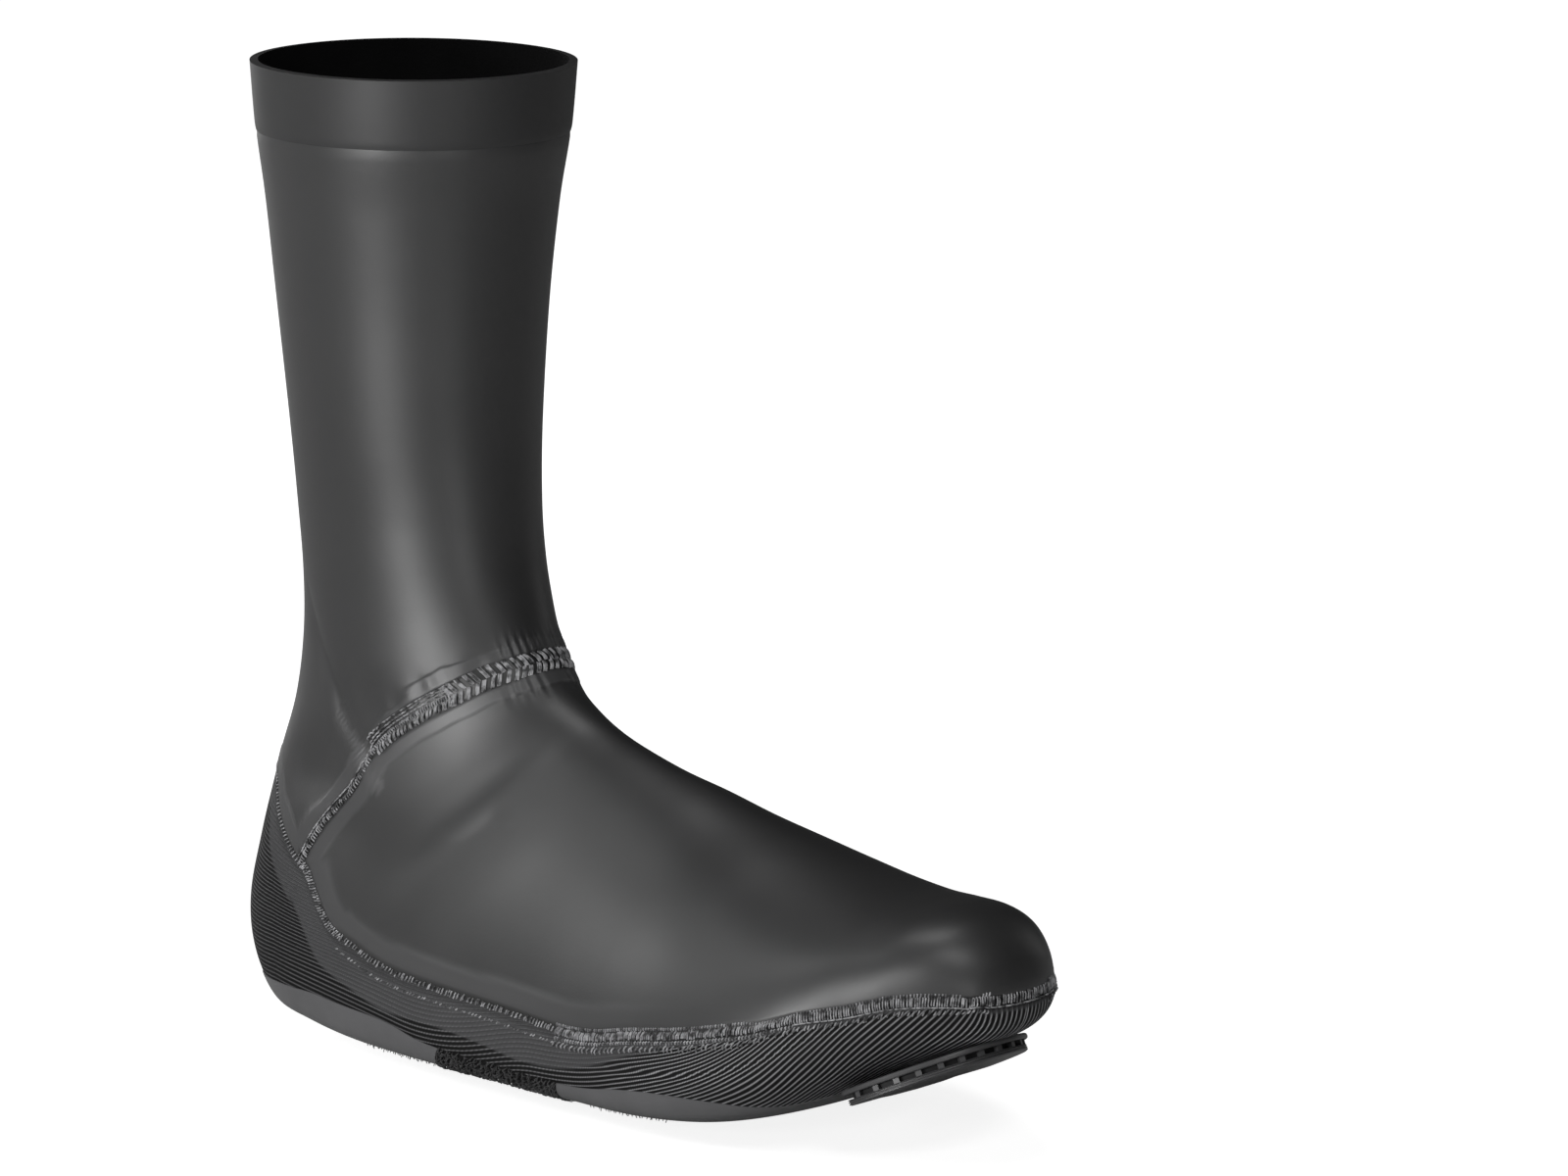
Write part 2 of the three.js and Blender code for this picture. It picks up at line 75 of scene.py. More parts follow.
# Sections of the foot: top x, top z, bottom x, bottom z, half width, widest level, roundness above and
# below it, sway to the inner side, and how far the sides stay behind the middle. The x values and the last
# are shares of FOOT_LENGTH, the z values of ANKLE_HEIGHT, half width and sway of half the BALL_WIDTH.
FOOT_SECTIONS = np.array([
    [0.33, 1.0, 0.058, 0.944, 0.62, 0.5, 2.05, 2.05, 0, 0],
    [0.341, 0.924, 0.056, 0.806, 0.614, 0.51, 2.05, 2.05, 0, 0],
    [0.353, 0.863, 0.046, 0.667, 0.626, 0.53, 2.05, 2.1, 0, 0],
    [0.368, 0.819, 0.025, 0.528, 0.653, 0.56, 2.05, 2.2, 0, 0],
    [0.384, 0.783, 0.008, 0.361, 0.683, 0.6, 2.0, 2.35, 0, 0],
    [0.401, 0.754, 0, 0.222, 0.709, 0.64, 1.95, 2.6, 0, 0],
    [0.423, 0.729, 0.017, 0.111, 0.723, 0.68, 1.9, 3.0, 0, 0],
    [0.448, 0.705, 0.06, 0.038, 0.733, 0.72, 1.85, 3.6, 0, 0],
    [0.476, 0.684, 0.12, 0.017, 0.741, 0.74, 1.85, 4.2, -0.01, 0],
    [0.512, 0.663, 0.202, 0.004, 0.76, 0.76, 1.85, 4.6, -0.02, 0],
    [0.551, 0.641, 0.309, 0, 0.8, 0.77, 1.85, 4.6, -0.02, 0],
    [0.597, 0.617, 0.416, 0, 0.859, 0.77, 1.85, 4.4, 0, 0],
    [0.647, 0.586, 0.522, 0, 0.931, 0.77, 1.85, 4.2, 0.02, 0],
    [0.7, 0.556, 0.629, 0.003, 0.99, 0.76, 1.9, 4.0, 0.04, 0],
    [0.75, 0.528, 0.718, 0.021, 1.0, 0.74, 1.95, 3.6, 0.06, 0],
    [0.8, 0.503, 0.793, 0.064, 0.947, 0.71, 2.05, 3.3, 0.07, 0.002],
    [0.846, 0.486, 0.846, 0.118, 0.844, 0.66, 2.2, 3.0, 0.083, 0.0035],
    [0.885, 0.482, 0.885, 0.16, 0.737, 0.62, 2.3, 2.7, 0.1, 0.005],
    [0.921, 0.481, 0.921, 0.192, 0.634, 0.58, 2.3, 2.6, 0.108, 0.007],
    [0.951, 0.469, 0.951, 0.219, 0.535, 0.57, 2.3, 2.5, 0.115, 0.0085],
    [0.974, 0.441, 0.974, 0.24, 0.44, 0.56, 2.3, 2.4, 0.12, 0.0095],
    [0.99, 0.403, 0.99, 0.264, 0.355, 0.55, 2.3, 2.4, 0.122, 0.01],
    [0.998, 0.362, 0.998, 0.294, 0.295, 0.53, 2.3, 2.4, 0.124, 0.0107],
    [1.0, 0.332, 1.0, 0.328, 0.27, 0.53, 2.3, 2.4, 0.125, 0.0107],
])

# The seam over the ankle: degrees round from the middle of the instep, and the section number there.
ANKLE_SEAM = np.array([
    [0, 9.12], [16, 9.15], [31, 9.17], [43, 9.3], [55, 9.42], [63, 9.54], [69, 9.66], [72, 9.85],
    [73.5, 10.2], [75.5, 10.45], [80, 10.62], [84, 10.78], [88, 11.0], [91, 11.3],
])

# Stations along one half of the knit, heel middle to toe middle: section and degrees round of its upper
# seam, of its lower edge and of the edge of the openings.
KNIT_STATIONS = np.array([
    [9.0, 180, 12.0, 180, 13.1, 180],
    [9.2, 136, 12.4, 140, 13.25, 158],
    [10.0, 112, 12.9, 118, 13.5, 148],
    [11.3, 91, 13.5, 107, 13.9, 145],
    [13.0, 86, 14.3, 101, 14.6, 144],
    [14.6, 86, 15.3, 98, 15.45, 143],
    [16.2, 85, 16.2, 105, 16.2, 142],
    [18.0, 84.5, 18.0, 106, 18.0, 140],
    [19.0, 80, 18.9, 98, 18.8, 140],
    [20.4, 77.5, 19.7, 99, 19.5, 142],
    [21.8, 80.5, 20.4, 109, 20.05, 147],
    [23.2, 86.5, 20.9, 127, 20.4, 154],
    [25.0, 89, 21.2, 142, 20.65, 162],
    [27.0, 89, 21.5, 152, 20.8, 168],
    [29.0, 90, 21.75, 162, 20.87, 173],
    [29.0, 180, 22.0, 180, 20.9, 180],
])
# How far along the knit each station lies, in even strips.
STATION_STRIPS = np.array([0, 3, 5, 7, 10, 12, 14, 17, 19, 21, 23, 25, 27, 29, 32, 42])
ANKLE_STATION = 3
ARCH_REAR_STATION = 6
ARCH_FRONT_STATION = 7
TOE_CORNER_STATION = 14
ANKLE_AROUND = 91
CUFF_SECTION = 1.0
TOE_SECTION = 29

LEG_AXIS = 0.185 * FOOT_LENGTH

# Degrees over which the ankle seam's corners are eased, and how the leg's rows of faces crowd towards it.
CORNER_EASE = 1.5
LEG_ROW_SPREAD = 0.85

# Seams: the reach of the tape behind them over the instep and down the sides, its height, the dip under the
# stitches, the softness of its edge, the ankle stitching's two widths and the degrees round where they meet.
SEAM_TAPE_REACH = 7.6 * MM
SIDE_TAPE_REACH = 6.2 * MM
SEAM_TAPE_HEIGHT = 0.2 * MM
SEAM_DIP = 0.35 * MM
SOFT_EDGE = 0.3 * MM
WIDE_BAND = 6.6 * MM
NARROW_BAND = 2.8 * MM
NARROW_FROM = 71

# The knit: pitches of its ribs and beads, the place where the side's ribs meet those of the front and how far
# below it they start, the mean distance between stations, its fullness and how far the tapes stand off it.
SIDE_RIB_PITCH = 1.42 * MM
FRONT_RIB_PITCH = 1.75 * MM
BEAD_PITCH = 0.75 * MM
RIB_JOIN_SECTION = 18.9
RIB_JOIN_AROUND = 98
RIB_JOIN_DROP = 6 * MM
STATION_SPACING = 22 * MM
KNIT_FULLNESS = 0.5 * MM
TAPE_LIFT = 0.45 * MM


def skin_rows():
    """Every section from the cuff rim to the toe seam, in metres, in the foot table's column order."""
    height, centre, depth, width = LEG_SECTIONS.T
    leg = np.zeros((len(LEG_SECTIONS), FOOT_SECTIONS.shape[1]))
    leg[:, 0] = centre * FOOT_LENGTH + depth * CUFF_DEPTH / 2
    leg[:, 1] = height * LEG_HEIGHT
    leg[:, 2] = centre * FOOT_LENGTH - depth * CUFF_DEPTH / 2
    leg[:, 3] = height * LEG_HEIGHT
    leg[:, 4] = width * CUFF_WIDTH / 2
    leg[:, 5:8] = 0.5, LEG_ROUNDNESS, LEG_ROUNDNESS
    half = BALL_WIDTH / 2
    scale = np.array([FOOT_LENGTH, ANKLE_HEIGHT, FOOT_LENGTH, ANKLE_HEIGHT, half, 1, 1, 1, half, FOOT_LENGTH])
    return np.concatenate([leg, FOOT_SECTIONS * scale])


SKIN = skin_rows()


def smooth_rows(rows, place):
    """A smooth curve through a table's rows, all columns at once, at any places between the rows."""
    place = np.asarray(place, float)
    whole = np.clip(np.floor(place).astype(int), 0, len(rows) - 2)
    t = (place - whole)[..., None]
    before = rows[np.maximum(whole - 1, 0)]
    start = rows[whole]
    end = rows[whole + 1]
    after = rows[np.minimum(whole + 2, len(rows) - 1)]
    bend = 2 * before - 5 * start + 4 * end - after
    twist = 3 * start - before - 3 * end + after
    return start + ((end - before) * t + bend * t**2 + twist * t**3) / 2


def signed_power(value, power):
    return np.sign(value) * np.abs(value) ** power


def skin(section, around):
    """Points of the outer surface: section number, and degrees round from the top, inner side positive."""
    section, around = np.broadcast_arrays(np.asarray(section, float), np.asarray(around, float))
    row = np.moveaxis(smooth_rows(SKIN, section), -1, 0)
    top_x, top_z, bottom_x, bottom_z, half, widest, round_top, round_bottom, sway, bow = row
    cosine = np.cos(np.radians(around))
    sine = np.sin(np.radians(around))
    power = 2 / np.where(cosine > 0, round_top, round_bottom)
    across = signed_power(sine, power)
    down = widest - signed_power(cosine, power) * np.where(cosine > 0, widest, 1 - widest)
    x = top_x + (bottom_x - top_x) * down - bow * across**2 - LEG_AXIS
    z = top_z + (bottom_z - top_z) * down
    return np.stack([x, sway + half * across, z], axis=-1)


def mix(start, end, t):
    return start + (end - start) * t


def soft_step(value, low, high):
    t = np.clip((value - low) / (high - low), 0, 1)
    return t * t * (3 - 2 * t)


def ankle_section(around):
    """The section that the ankle seam crosses, with its corners eased."""
    angle = np.abs(around)
    ease = np.minimum(CORNER_EASE, np.minimum(angle, ANKLE_AROUND - angle))
    eased = [np.interp(angle + shift * ease, *ANKLE_SEAM.T) for shift in (-1, 0, 1)]
    return sum(eased) / 3


def knit_lines(strip):
    """Seam, lower edge and opening edge (section and degrees round of each) at a strip along the knit."""
    station = np.interp(strip, STATION_STRIPS, np.arange(len(STATION_STRIPS)))
    rows = smooth_rows(KNIT_STATIONS, station)
    rows[..., 0] = np.where(station >= TOE_CORNER_STATION, TOE_SECTION, np.minimum(rows[..., 0], TOE_SECTION))
    return station, rows


def knit_place(strip, side, level):
    """Section and degrees round at a level: 0 upper seam, 1 lower edge, 2 edge of the opening."""
    _, rows = knit_lines(strip)
    upper = np.clip(level, 0, 1)
    lower = np.clip(level - 1, 0, 1)
    section = mix(mix(rows[..., 0], rows[..., 2], upper), rows[..., 4], lower)
    around = mix(mix(rows[..., 1], rows[..., 3], upper), rows[..., 5], lower)
    return section, side * around


# Pieces of cloth

def in_scene(name, data):
    thing = bpy.data.objects.new(name, data)
    bpy.context.scene.collection.objects.link(thing)
    return thing


def mesh_from(bm, name):
    mesh = bpy.data.meshes.new(name)
    bm.to_mesh(mesh)
    bm.free()
    return mesh


def sheet_of_cloth(name, columns, rows, place, closed=False):
    """A panel laid on the skin. place gives section and degrees round for shares across and along."""
    bm = bmesh.new()
    bmesh.ops.create_grid(bm, x_segments=columns, y_segments=rows, size=0.5)
    across = np.array([v.co.x for v in bm.verts]) + 0.5
    along = np.array([v.co.y for v in bm.verts]) + 0.5
    section, around = place(across, along)
    points = skin(section, around)
    marks = {"across": across, "along": along, "section": section, "around": around}
    layers = {mark: bm.verts.layers.float.new(mark) for mark in marks}
    for index, vertex in enumerate(bm.verts):
        vertex.co = points[index]
        for mark, values in marks.items():
            vertex[layers[mark]] = values[index]
    if closed:
        bmesh.ops.remove_doubles(bm, verts=bm.verts, dist=0.02 * MM)
    bm.normal_update()
    outward = 0
    for face in bm.faces:
        face_section = sum(v[layers["section"]] for v in face.verts) / len(face.verts)
        away = face.calc_center_median() - skin_core(face_section)
        outward += face.normal.dot(away) * face.calc_area()
    if outward < 0:
        bmesh.ops.reverse_faces(bm, faces=bm.faces)
    for edge in bm.edges:
        edge.smooth = not edge.is_boundary
    mesh = mesh_from(bm, name)
    mesh.polygons.foreach_set("use_smooth", [True] * len(mesh.polygons))
    return mesh


CORE_STEPS = 4
CORES = np.array([
    skin(step / CORE_STEPS, np.array([0.0, 180.0])).mean(axis=0)
    for step in range(CORE_STEPS * TOE_SECTION + 1)
])


def skin_core(section):
    """The middle of the leg or the foot at a section."""
    return Vector(CORES[min(int(round(section * CORE_STEPS)), len(CORES) - 1)])


def read(mesh, name):
    values = np.zeros(len(mesh.vertices), np.float32)
    mesh.attributes[name].data.foreach_get("value", values)
    return values.astype(float)


def write(mesh, name, values):
    layer = mesh.attributes.get(name) or mesh.attributes.new(name, "FLOAT", "POINT")
    layer.data.foreach_set("value", np.asarray(values, np.float32))


def triples(items, name):
    flat = np.zeros(3 * len(items), np.float32)
    items.foreach_get(name, flat)
    return flat.reshape(-1, 3).astype(float)


def points_of(mesh):
    return triples(mesh.vertices, "co")


def raise_cloth(mesh, height):
    """Moves the surface along its own direction by a height for each vertex."""
    moved = points_of(mesh) + triples(mesh.vertex_normals, "vector") * np.asarray(height)[:, None]
    mesh.vertices.foreach_set("co", moved.astype(np.float32).ravel())
    mesh.update()


# Seam lines

class SeamLine:
    """A dense line on the skin with its length from the start."""

    def __init__(self, section, around):
        self.points = skin(section, around)
        self.around = np.asarray(around, float)
        steps = np.linalg.norm(np.diff(self.points, axis=0), axis=1)
        self.run = np.concatenate([[0], np.cumsum(steps)])
        self.length = self.run[-1]
        self.tree = KDTree(len(self.points))
        for index, point in enumerate(self.points):
            self.tree.insert(point, index)
        self.tree.balance()

    def nearest(self, points):
        """Distance to the line, and how far along it the nearest place is."""
        found = [self.tree.find(point) for point in points]
        distance = np.array([hit[2] for hit in found])
        return distance, self.run[[hit[1] for hit in found]]

    def run_at(self, around):
        return float(np.interp(around, self.around, self.run))

    def at(self, run):
        return np.stack([np.interp(run, self.run, self.points[:, axis]) for axis in range(3)], axis=-1)


ANKLE_STRIP = STATION_STRIPS[ANKLE_STATION]
TOE_STRIP = STATION_STRIPS[-1]


def knit_seam_line(far_strip, count):
    """The knit's upper seam from the ankle's outer side by a far strip to the ankle's inner side."""
    outer = np.linspace(ANKLE_STRIP, far_strip, count)
    inner = np.linspace(far_strip, ANKLE_STRIP, count)[1:]
    side = np.where(np.arange(2 * count - 1) < count, -1, 1)
    return SeamLine(*knit_place(np.concatenate([outer, inner]), side, 0.0))


ankle_angles = np.linspace(-ANKLE_AROUND, ANKLE_AROUND, 900)
ankle_line = SeamLine(ankle_section(ankle_angles), ankle_angles)
knit_line = knit_seam_line(TOE_STRIP, 1400)
heel_line = knit_seam_line(0, 260)

# The leg, the foot upper, the knit, the tapes and the patch

FRONT_STRIPS = 20
LEG_STRIPS = 34


def leg_edge(strip):
    """The leg's lower edge, once round: the ankle seam in front, the top of the heel knit behind."""
    front = (strip / (FRONT_STRIPS / 2) - 1) * ANKLE_AROUND
    behind = strip - FRONT_STRIPS
    inner = behind <= ANKLE_STRIP
    knit_strip = np.clip(np.where(inner, ANKLE_STRIP - behind, behind - ANKLE_STRIP), 0, ANKLE_STRIP)
    section, around = knit_place(knit_strip, 1, 0.0)
    around = np.where(inner, around, 360 - around)
    in_front = strip <= FRONT_STRIPS
    return np.where(in_front, ankle_section(front), section), np.where(in_front, front, around)


def leg_place(across, along):
    strip = across * LEG_STRIPS
    edge_section, edge_around = leg_edge(strip)
    even = strip * 360 / LEG_STRIPS - ANKLE_AROUND
    down = along**LEG_ROW_SPREAD
    return mix(CUFF_SECTION, edge_section, down), mix(even, edge_around, down**2)


def cuff_place(across, along):
    return along * CUFF_SECTION, across * 360 - ANKLE_AROUND


def upper_place(across, along):
    strip = mix(ANKLE_STRIP, STATION_STRIPS[TOE_CORNER_STATION], along)
    _, rows = knit_lines(strip)
    share = across * 2 - 1
    t = (rows[..., 0] - KNIT_STATIONS[ANKLE_STATION, 0]) / (TOE_SECTION - KNIT_STATIONS[ANKLE_STATION, 0])
    return mix(ankle_section(share * ANKLE_AROUND), TOE_SECTION, t), share * rows[..., 1]


def round_the_foot(share):
    """Strip and side for a share once round the knit, from the heel's middle by the outer side."""
    strip = share * 2 * TOE_STRIP
    outer = strip <= TOE_STRIP
    return np.where(outer, strip, 2 * TOE_STRIP - strip), np.where(outer, -1, 1)


def knit_piece_place(across, along):
    strip, side = round_the_foot(across)
    return knit_place(strip, side, along)


def opening_tape(middle, end):
    """Places on the tape round an opening, given the strip at its middle and the strip at both its ends."""
    def place(across, along):
        share = across * 2 - 1
        return knit_place(mix(middle, end, np.abs(share)), np.where(share < 0, -1, 1), 1 + along)
    return place


heel_tape_place = opening_tape(0, STATION_STRIPS[ARCH_REAR_STATION])
cleat_tape_place = opening_tape(TOE_STRIP, STATION_STRIPS[ARCH_FRONT_STATION])


def patch_place(across, along):
    strip = mix(STATION_STRIPS[ARCH_REAR_STATION], STATION_STRIPS[ARCH_FRONT_STATION], along)
    _, rows = knit_lines(strip)
    third = across * 3
    outer = third < 1.5
    level = 1 + np.clip(np.where(outer, third, 3 - third), 0, 1)
    section, around = knit_place(strip, 1, level)
    around = np.where(outer, around, 360 - around)
    under = mix(rows[..., 5], 360 - rows[..., 5], np.clip(third - 1, 0, 1))
    between = (third > 1) & (third < 2)
    return np.where(between, rows[..., 4], section), -np.where(between, under, around)


leg_mesh = sheet_of_cloth("leg_cloth", 230, 180, leg_place, closed=True)
cuff_mesh = sheet_of_cloth("cuff_band", 230, 24, cuff_place, closed=True)
upper_mesh = sheet_of_cloth("foot_cloth", 170, 200, upper_place)
knit_mesh = sheet_of_cloth("sole_knit_band", 420, 50, knit_piece_place, closed=True)
heel_tape_mesh = sheet_of_cloth("heel_opening_tape", 180, 12, heel_tape_place)
cleat_tape_mesh = sheet_of_cloth("cleat_opening_tape", 260, 12, cleat_tape_place)
patch_mesh = sheet_of_cloth("arch_loop_patch", 120, 24, patch_place)


def taped_seams(mesh, lines, wander=0.1):
    """Raises the bonded tape beside each seam, pulls the cloth in under the stitches and marks both, for a
    painted highlight over the tape and painted shade under the stitches.
    """
    points = points_of(mesh)
    tape = np.zeros(len(points))
    dip = np.zeros(len(points))
    for line, reach, half_band, strength in lines:
        distance, run = line.nearest(points)
        ragged = wander * MM * (np.sin(run / (5.3 * MM)) + 0.6 * np.sin(run / (2.1 * MM) + 1))
        edge = reach(run, line) + ragged
        shown = strength(run, line) * (1 - soft_step(distance, edge - SOFT_EDGE, edge + SOFT_EDGE))
        tape = np.maximum(tape, shown)
        band = half_band(run, line)
        dip = np.maximum(dip, 1 - soft_step(distance, band - SOFT_EDGE, band + 0.5 * MM))
    raise_cloth(mesh, tape * SEAM_TAPE_HEIGHT - dip * SEAM_DIP)
    # The tape mark paints a highlight on the cloth over the tape; the seam mark paints shade in the dip under
    # the stitches.
    write(mesh, "tape", 0.6 * tape * (1 - dip))
    write(mesh, "seam", dip)


def near_the_ankle(run, line):
    """The knit seam's tape shows at the ankle's end of both sides and fades towards the toe."""
    share = run / line.length
    return 1 - soft_step(np.minimum(share, 1 - share), 0.16, 0.34)


def ankle_angle(run, line):
    return np.abs(np.interp(run, line.run, line.around))


def steady(value):
    return lambda run, line: np.full(len(run), value)


def ankle_band(run, line):
    """The ankle stitching is wide over the instep and narrow down both sides."""
    angle = ankle_angle(run, line)
    return mix(WIDE_BAND / 2, NARROW_BAND / 2, soft_step(angle, NARROW_FROM - 1, NARROW_FROM + 1))


def ankle_tape(run, line):
    """The tape's edge steps in a little where the seam turns down the side."""
    angle = ankle_angle(run, line)
    return mix(SEAM_TAPE_REACH, SIDE_TAPE_REACH, soft_step(angle, NARROW_FROM - 2, NARROW_FROM + 2))


# The tape's ragged edge on the leg: degrees round, its reach from the seam in millimetres, how much it shows,
# in its height and its painted highlight.
RAGGED_TAPE = np.array([
    [0, 7.0, 0.15], [20, 6.8, 0.35], [31, 7.0, 0.5], [33, 7.4, 0.9], [42, 7.2, 1], [43.5, 8.0, 1],
    [56.5, 7.6, 1], [58, 5.7, 0.8], [65, 5.4, 0.7], [67, 4.4, 0.4], [71, 4.4, 0.5], [75, 6.2, 0.9],
    [91, 6.2, 0.9],
])


def ragged_reach(run, line):
    return np.interp(ankle_angle(run, line), RAGGED_TAPE[:, 0], RAGGED_TAPE[:, 1]) * MM


def ragged_strength(run, line):
    return np.interp(ankle_angle(run, line), RAGGED_TAPE[:, 0], RAGGED_TAPE[:, 2])


# Each seam: its line, the reach of its tape, half the width of its stitching and how much of the tape shows,
# in its height and its painted highlight.
ankle_tape_line = (ankle_line, ankle_tape, ankle_band, steady(1.0))
heel_tape_line = (heel_line, steady(6 * MM), steady(0.9 * MM), steady(1.0))
knit_tape_line = (knit_line, steady(8.2 * MM), steady(1.3 * MM), near_the_ankle)
taped_seams(leg_mesh, [(ankle_line, ragged_reach, ankle_band, ragged_strength), heel_tape_line], 0.4)
taped_seams(upper_mesh, [ankle_tape_line, knit_tape_line])


# Folds and dents

def skin_path(places, count=160):
    """A line over the skin through a few places, each a section and degrees round."""
    rows = smooth_rows(np.array(places, float), np.linspace(0, len(places) - 1, count))
    return SeamLine(rows[:, 0], rows[:, 1])


def fold(mesh, places, depth, width, above=None, start=0.0):
    """A fold that grows along a line: a groove where depth is positive and a ridge where it is negative.

    above is the width on the upper side, where it differs, and start the strength at the line's beginning.
    """
    line = skin_path(places)
    points = points_of(mesh)
    distance, run = line.nearest(points)
    share = run / line.length
    wide = np.where(points[:, 2] > line.at(run)[:, 2], above or width, width)
    eased = np.minimum(soft_step(share, -0.001, 0.15) + start, 1)
    strength = mix(start, 1.0, share)
    raise_cloth(mesh, -depth * eased * strength * np.exp(-np.abs(distance / wide) ** 1.5))


def dent(mesh, section, around, depth, across, lengthwise=None):
    """A soft hollow where depth is positive, or a swelling where it is negative."""
    centre = skin(section, around)
    ahead = skin(section + 0.2, around) - centre
    ahead /= np.linalg.norm(ahead)
    offset = points_of(mesh) - centre
    forward = offset @ ahead
    aside = np.linalg.norm(offset - forward[:, None] * ahead, axis=1)
    lengthwise = lengthwise or across
    raise_cloth(mesh, -depth * np.exp(-((forward / lengthwise) ** 2) - (aside / across) ** 2))


def pucker(mesh, low, high, spread, pitch, height):
    """A row of short gathers beside the ankle seam, between two angles round the leg."""
    distance, run = ankle_line.nearest(points_of(mesh))
    angle = np.interp(run, ankle_line.run, ankle_line.around)
    window = soft_step(angle, low, low + 8) * (1 - soft_step(angle, high - 8, high))
    wobble = np.sin(2 * np.pi * run / pitch + 1.3 * np.sin(run / (4.1 * MM)))
    raise_cloth(mesh, height * wobble * window * np.exp(-(((distance - PUCKER_DISTANCE) / spread) ** 2)))


def on_side(side, places):
    return [(section, side * around) for section, around in places]


# The crease behind the ankle, the facet beside the instep and the tape that crosses the seam: section and
# degrees round. The inner side's crease and dents are weaker than the outer side's.
CREASE = [(6.0, 129), (6.45, 123), (6.95, 115), (7.35, 108), (8.1, 96), (9.15, 83), (9.6, 77)]
FACET = [(12.0, -57), (12.85, -59), (13.35, -56), (13.8, -53), (13.9, -47)]
CROSSING_TAPE = [(9.15, 83), (9.6, 78), (10.1, 73.5), (10.6, 69.5), (11.0, 66)]
CROSSING_HALF_WIDTH = 2.3 * MM
PUCKER_DISTANCE = 6 * MM
INNER_STRENGTH = 0.6

for side in (-1, 1):
    strength = 1.0 if side < 0 else INNER_STRENGTH
    fold(leg_mesh, on_side(side, CREASE), 1.7 * MM * strength, 3.4 * MM, start=0.15)
    dent(leg_mesh, 9.6, side * 93, 2.4 * MM * strength, 11 * MM)
    dent(leg_mesh, 8.7, side * 80, 1.6 * MM * strength, 9 * MM)
    dent(upper_mesh, 11.9, side * 73, 1.6 * MM * strength, 15 * MM, 11 * MM)
    pucker(leg_mesh, *((-26, 6) if side < 0 else (6, 44)), 3.4 * MM, 3.1 * MM, 0.3 * MM)
    pucker(leg_mesh, *sorted((side * 68, side * 42)), 3 * MM, 7 * MM, 0.25 * MM)
    pucker(upper_mesh, *sorted((side * 30, side * 2)), 4 * MM, 3.6 * MM, 0.2 * MM)
dent(leg_mesh, 8.75, -33, 0.7 * MM, 4 * MM)
fold(upper_mesh, FACET, -0.3 * MM, 12 * MM, above=3 * MM)


def crossing_tape(mesh, places, height):
    """A short strip of the bonded tape that crosses the seam where it turns."""
    line = skin_path(places)
    distance, run = line.nearest(points_of(mesh))
    inside = (run > 0.01 * line.length) & (run < 0.99 * line.length)
    edge = CROSSING_HALF_WIDTH
    shown = inside * (1 - soft_step(distance, edge - 0.4 * MM, edge + 0.2 * MM))
    raise_cloth(mesh, shown * height)
    # The strip takes the tape's painted highlight, and the seam's painted shade is cleared under it.
    write(mesh, "tape", np.maximum(read(mesh, "tape"), shown))
    write(mesh, "seam", read(mesh, "seam") * (1 - shown))


for side in (-1, 1):
    crossing_tape(leg_mesh, on_side(side, CROSSING_TAPE), 0.15 * MM)
    crossing_tape(upper_mesh, on_side(side, CROSSING_TAPE), 0.1 * MM)


# The knit

KNIT_TOP_SECTION = 9
GIRTH_SECTION_STEP = 0.25
GIRTH_ANGLE_STEP = 1.5
# Reach of the bonded band below the knit's seam: station, millimetres.
BAND_REACH = np.array([[0, 5], [1.5, 9], [3, 12], [5.5, 12], [6.6, 14], [7.3, 10], [8.5, 4.5], [15, 3.5]])


def girth_table():
    """Lengths over the skin down to the middle of the sole, by section and angle."""
    sections = np.arange(KNIT_TOP_SECTION, TOE_SECTION + 0.01, GIRTH_SECTION_STEP)
    angles = np.arange(0, 181, GIRTH_ANGLE_STEP)
    web = skin(sections[:, None], angles[None, :])
    steps = np.linalg.norm(np.diff(web, axis=1), axis=2)
    lengths = np.cumsum(steps[:, ::-1], axis=1)[:, ::-1]
    return sections, np.concatenate([lengths, np.zeros((len(sections), 1))], axis=1)


def girth_at(girth, section, around):
    """Lengths from the table at places between its rows and columns."""
    row = np.clip((section - KNIT_TOP_SECTION) / GIRTH_SECTION_STEP, 0, len(girth) - 1.001)
    column = np.clip(around / GIRTH_ANGLE_STEP, 0, len(girth[0]) - 1.001)
    i = row.astype(int)
    j = column.astype(int)
    near = mix(girth[i, j], girth[i + 1, j], row - i)
    far = mix(girth[i, j + 1], girth[i + 1, j + 1], row - i)
    return mix(near, far, column - j)


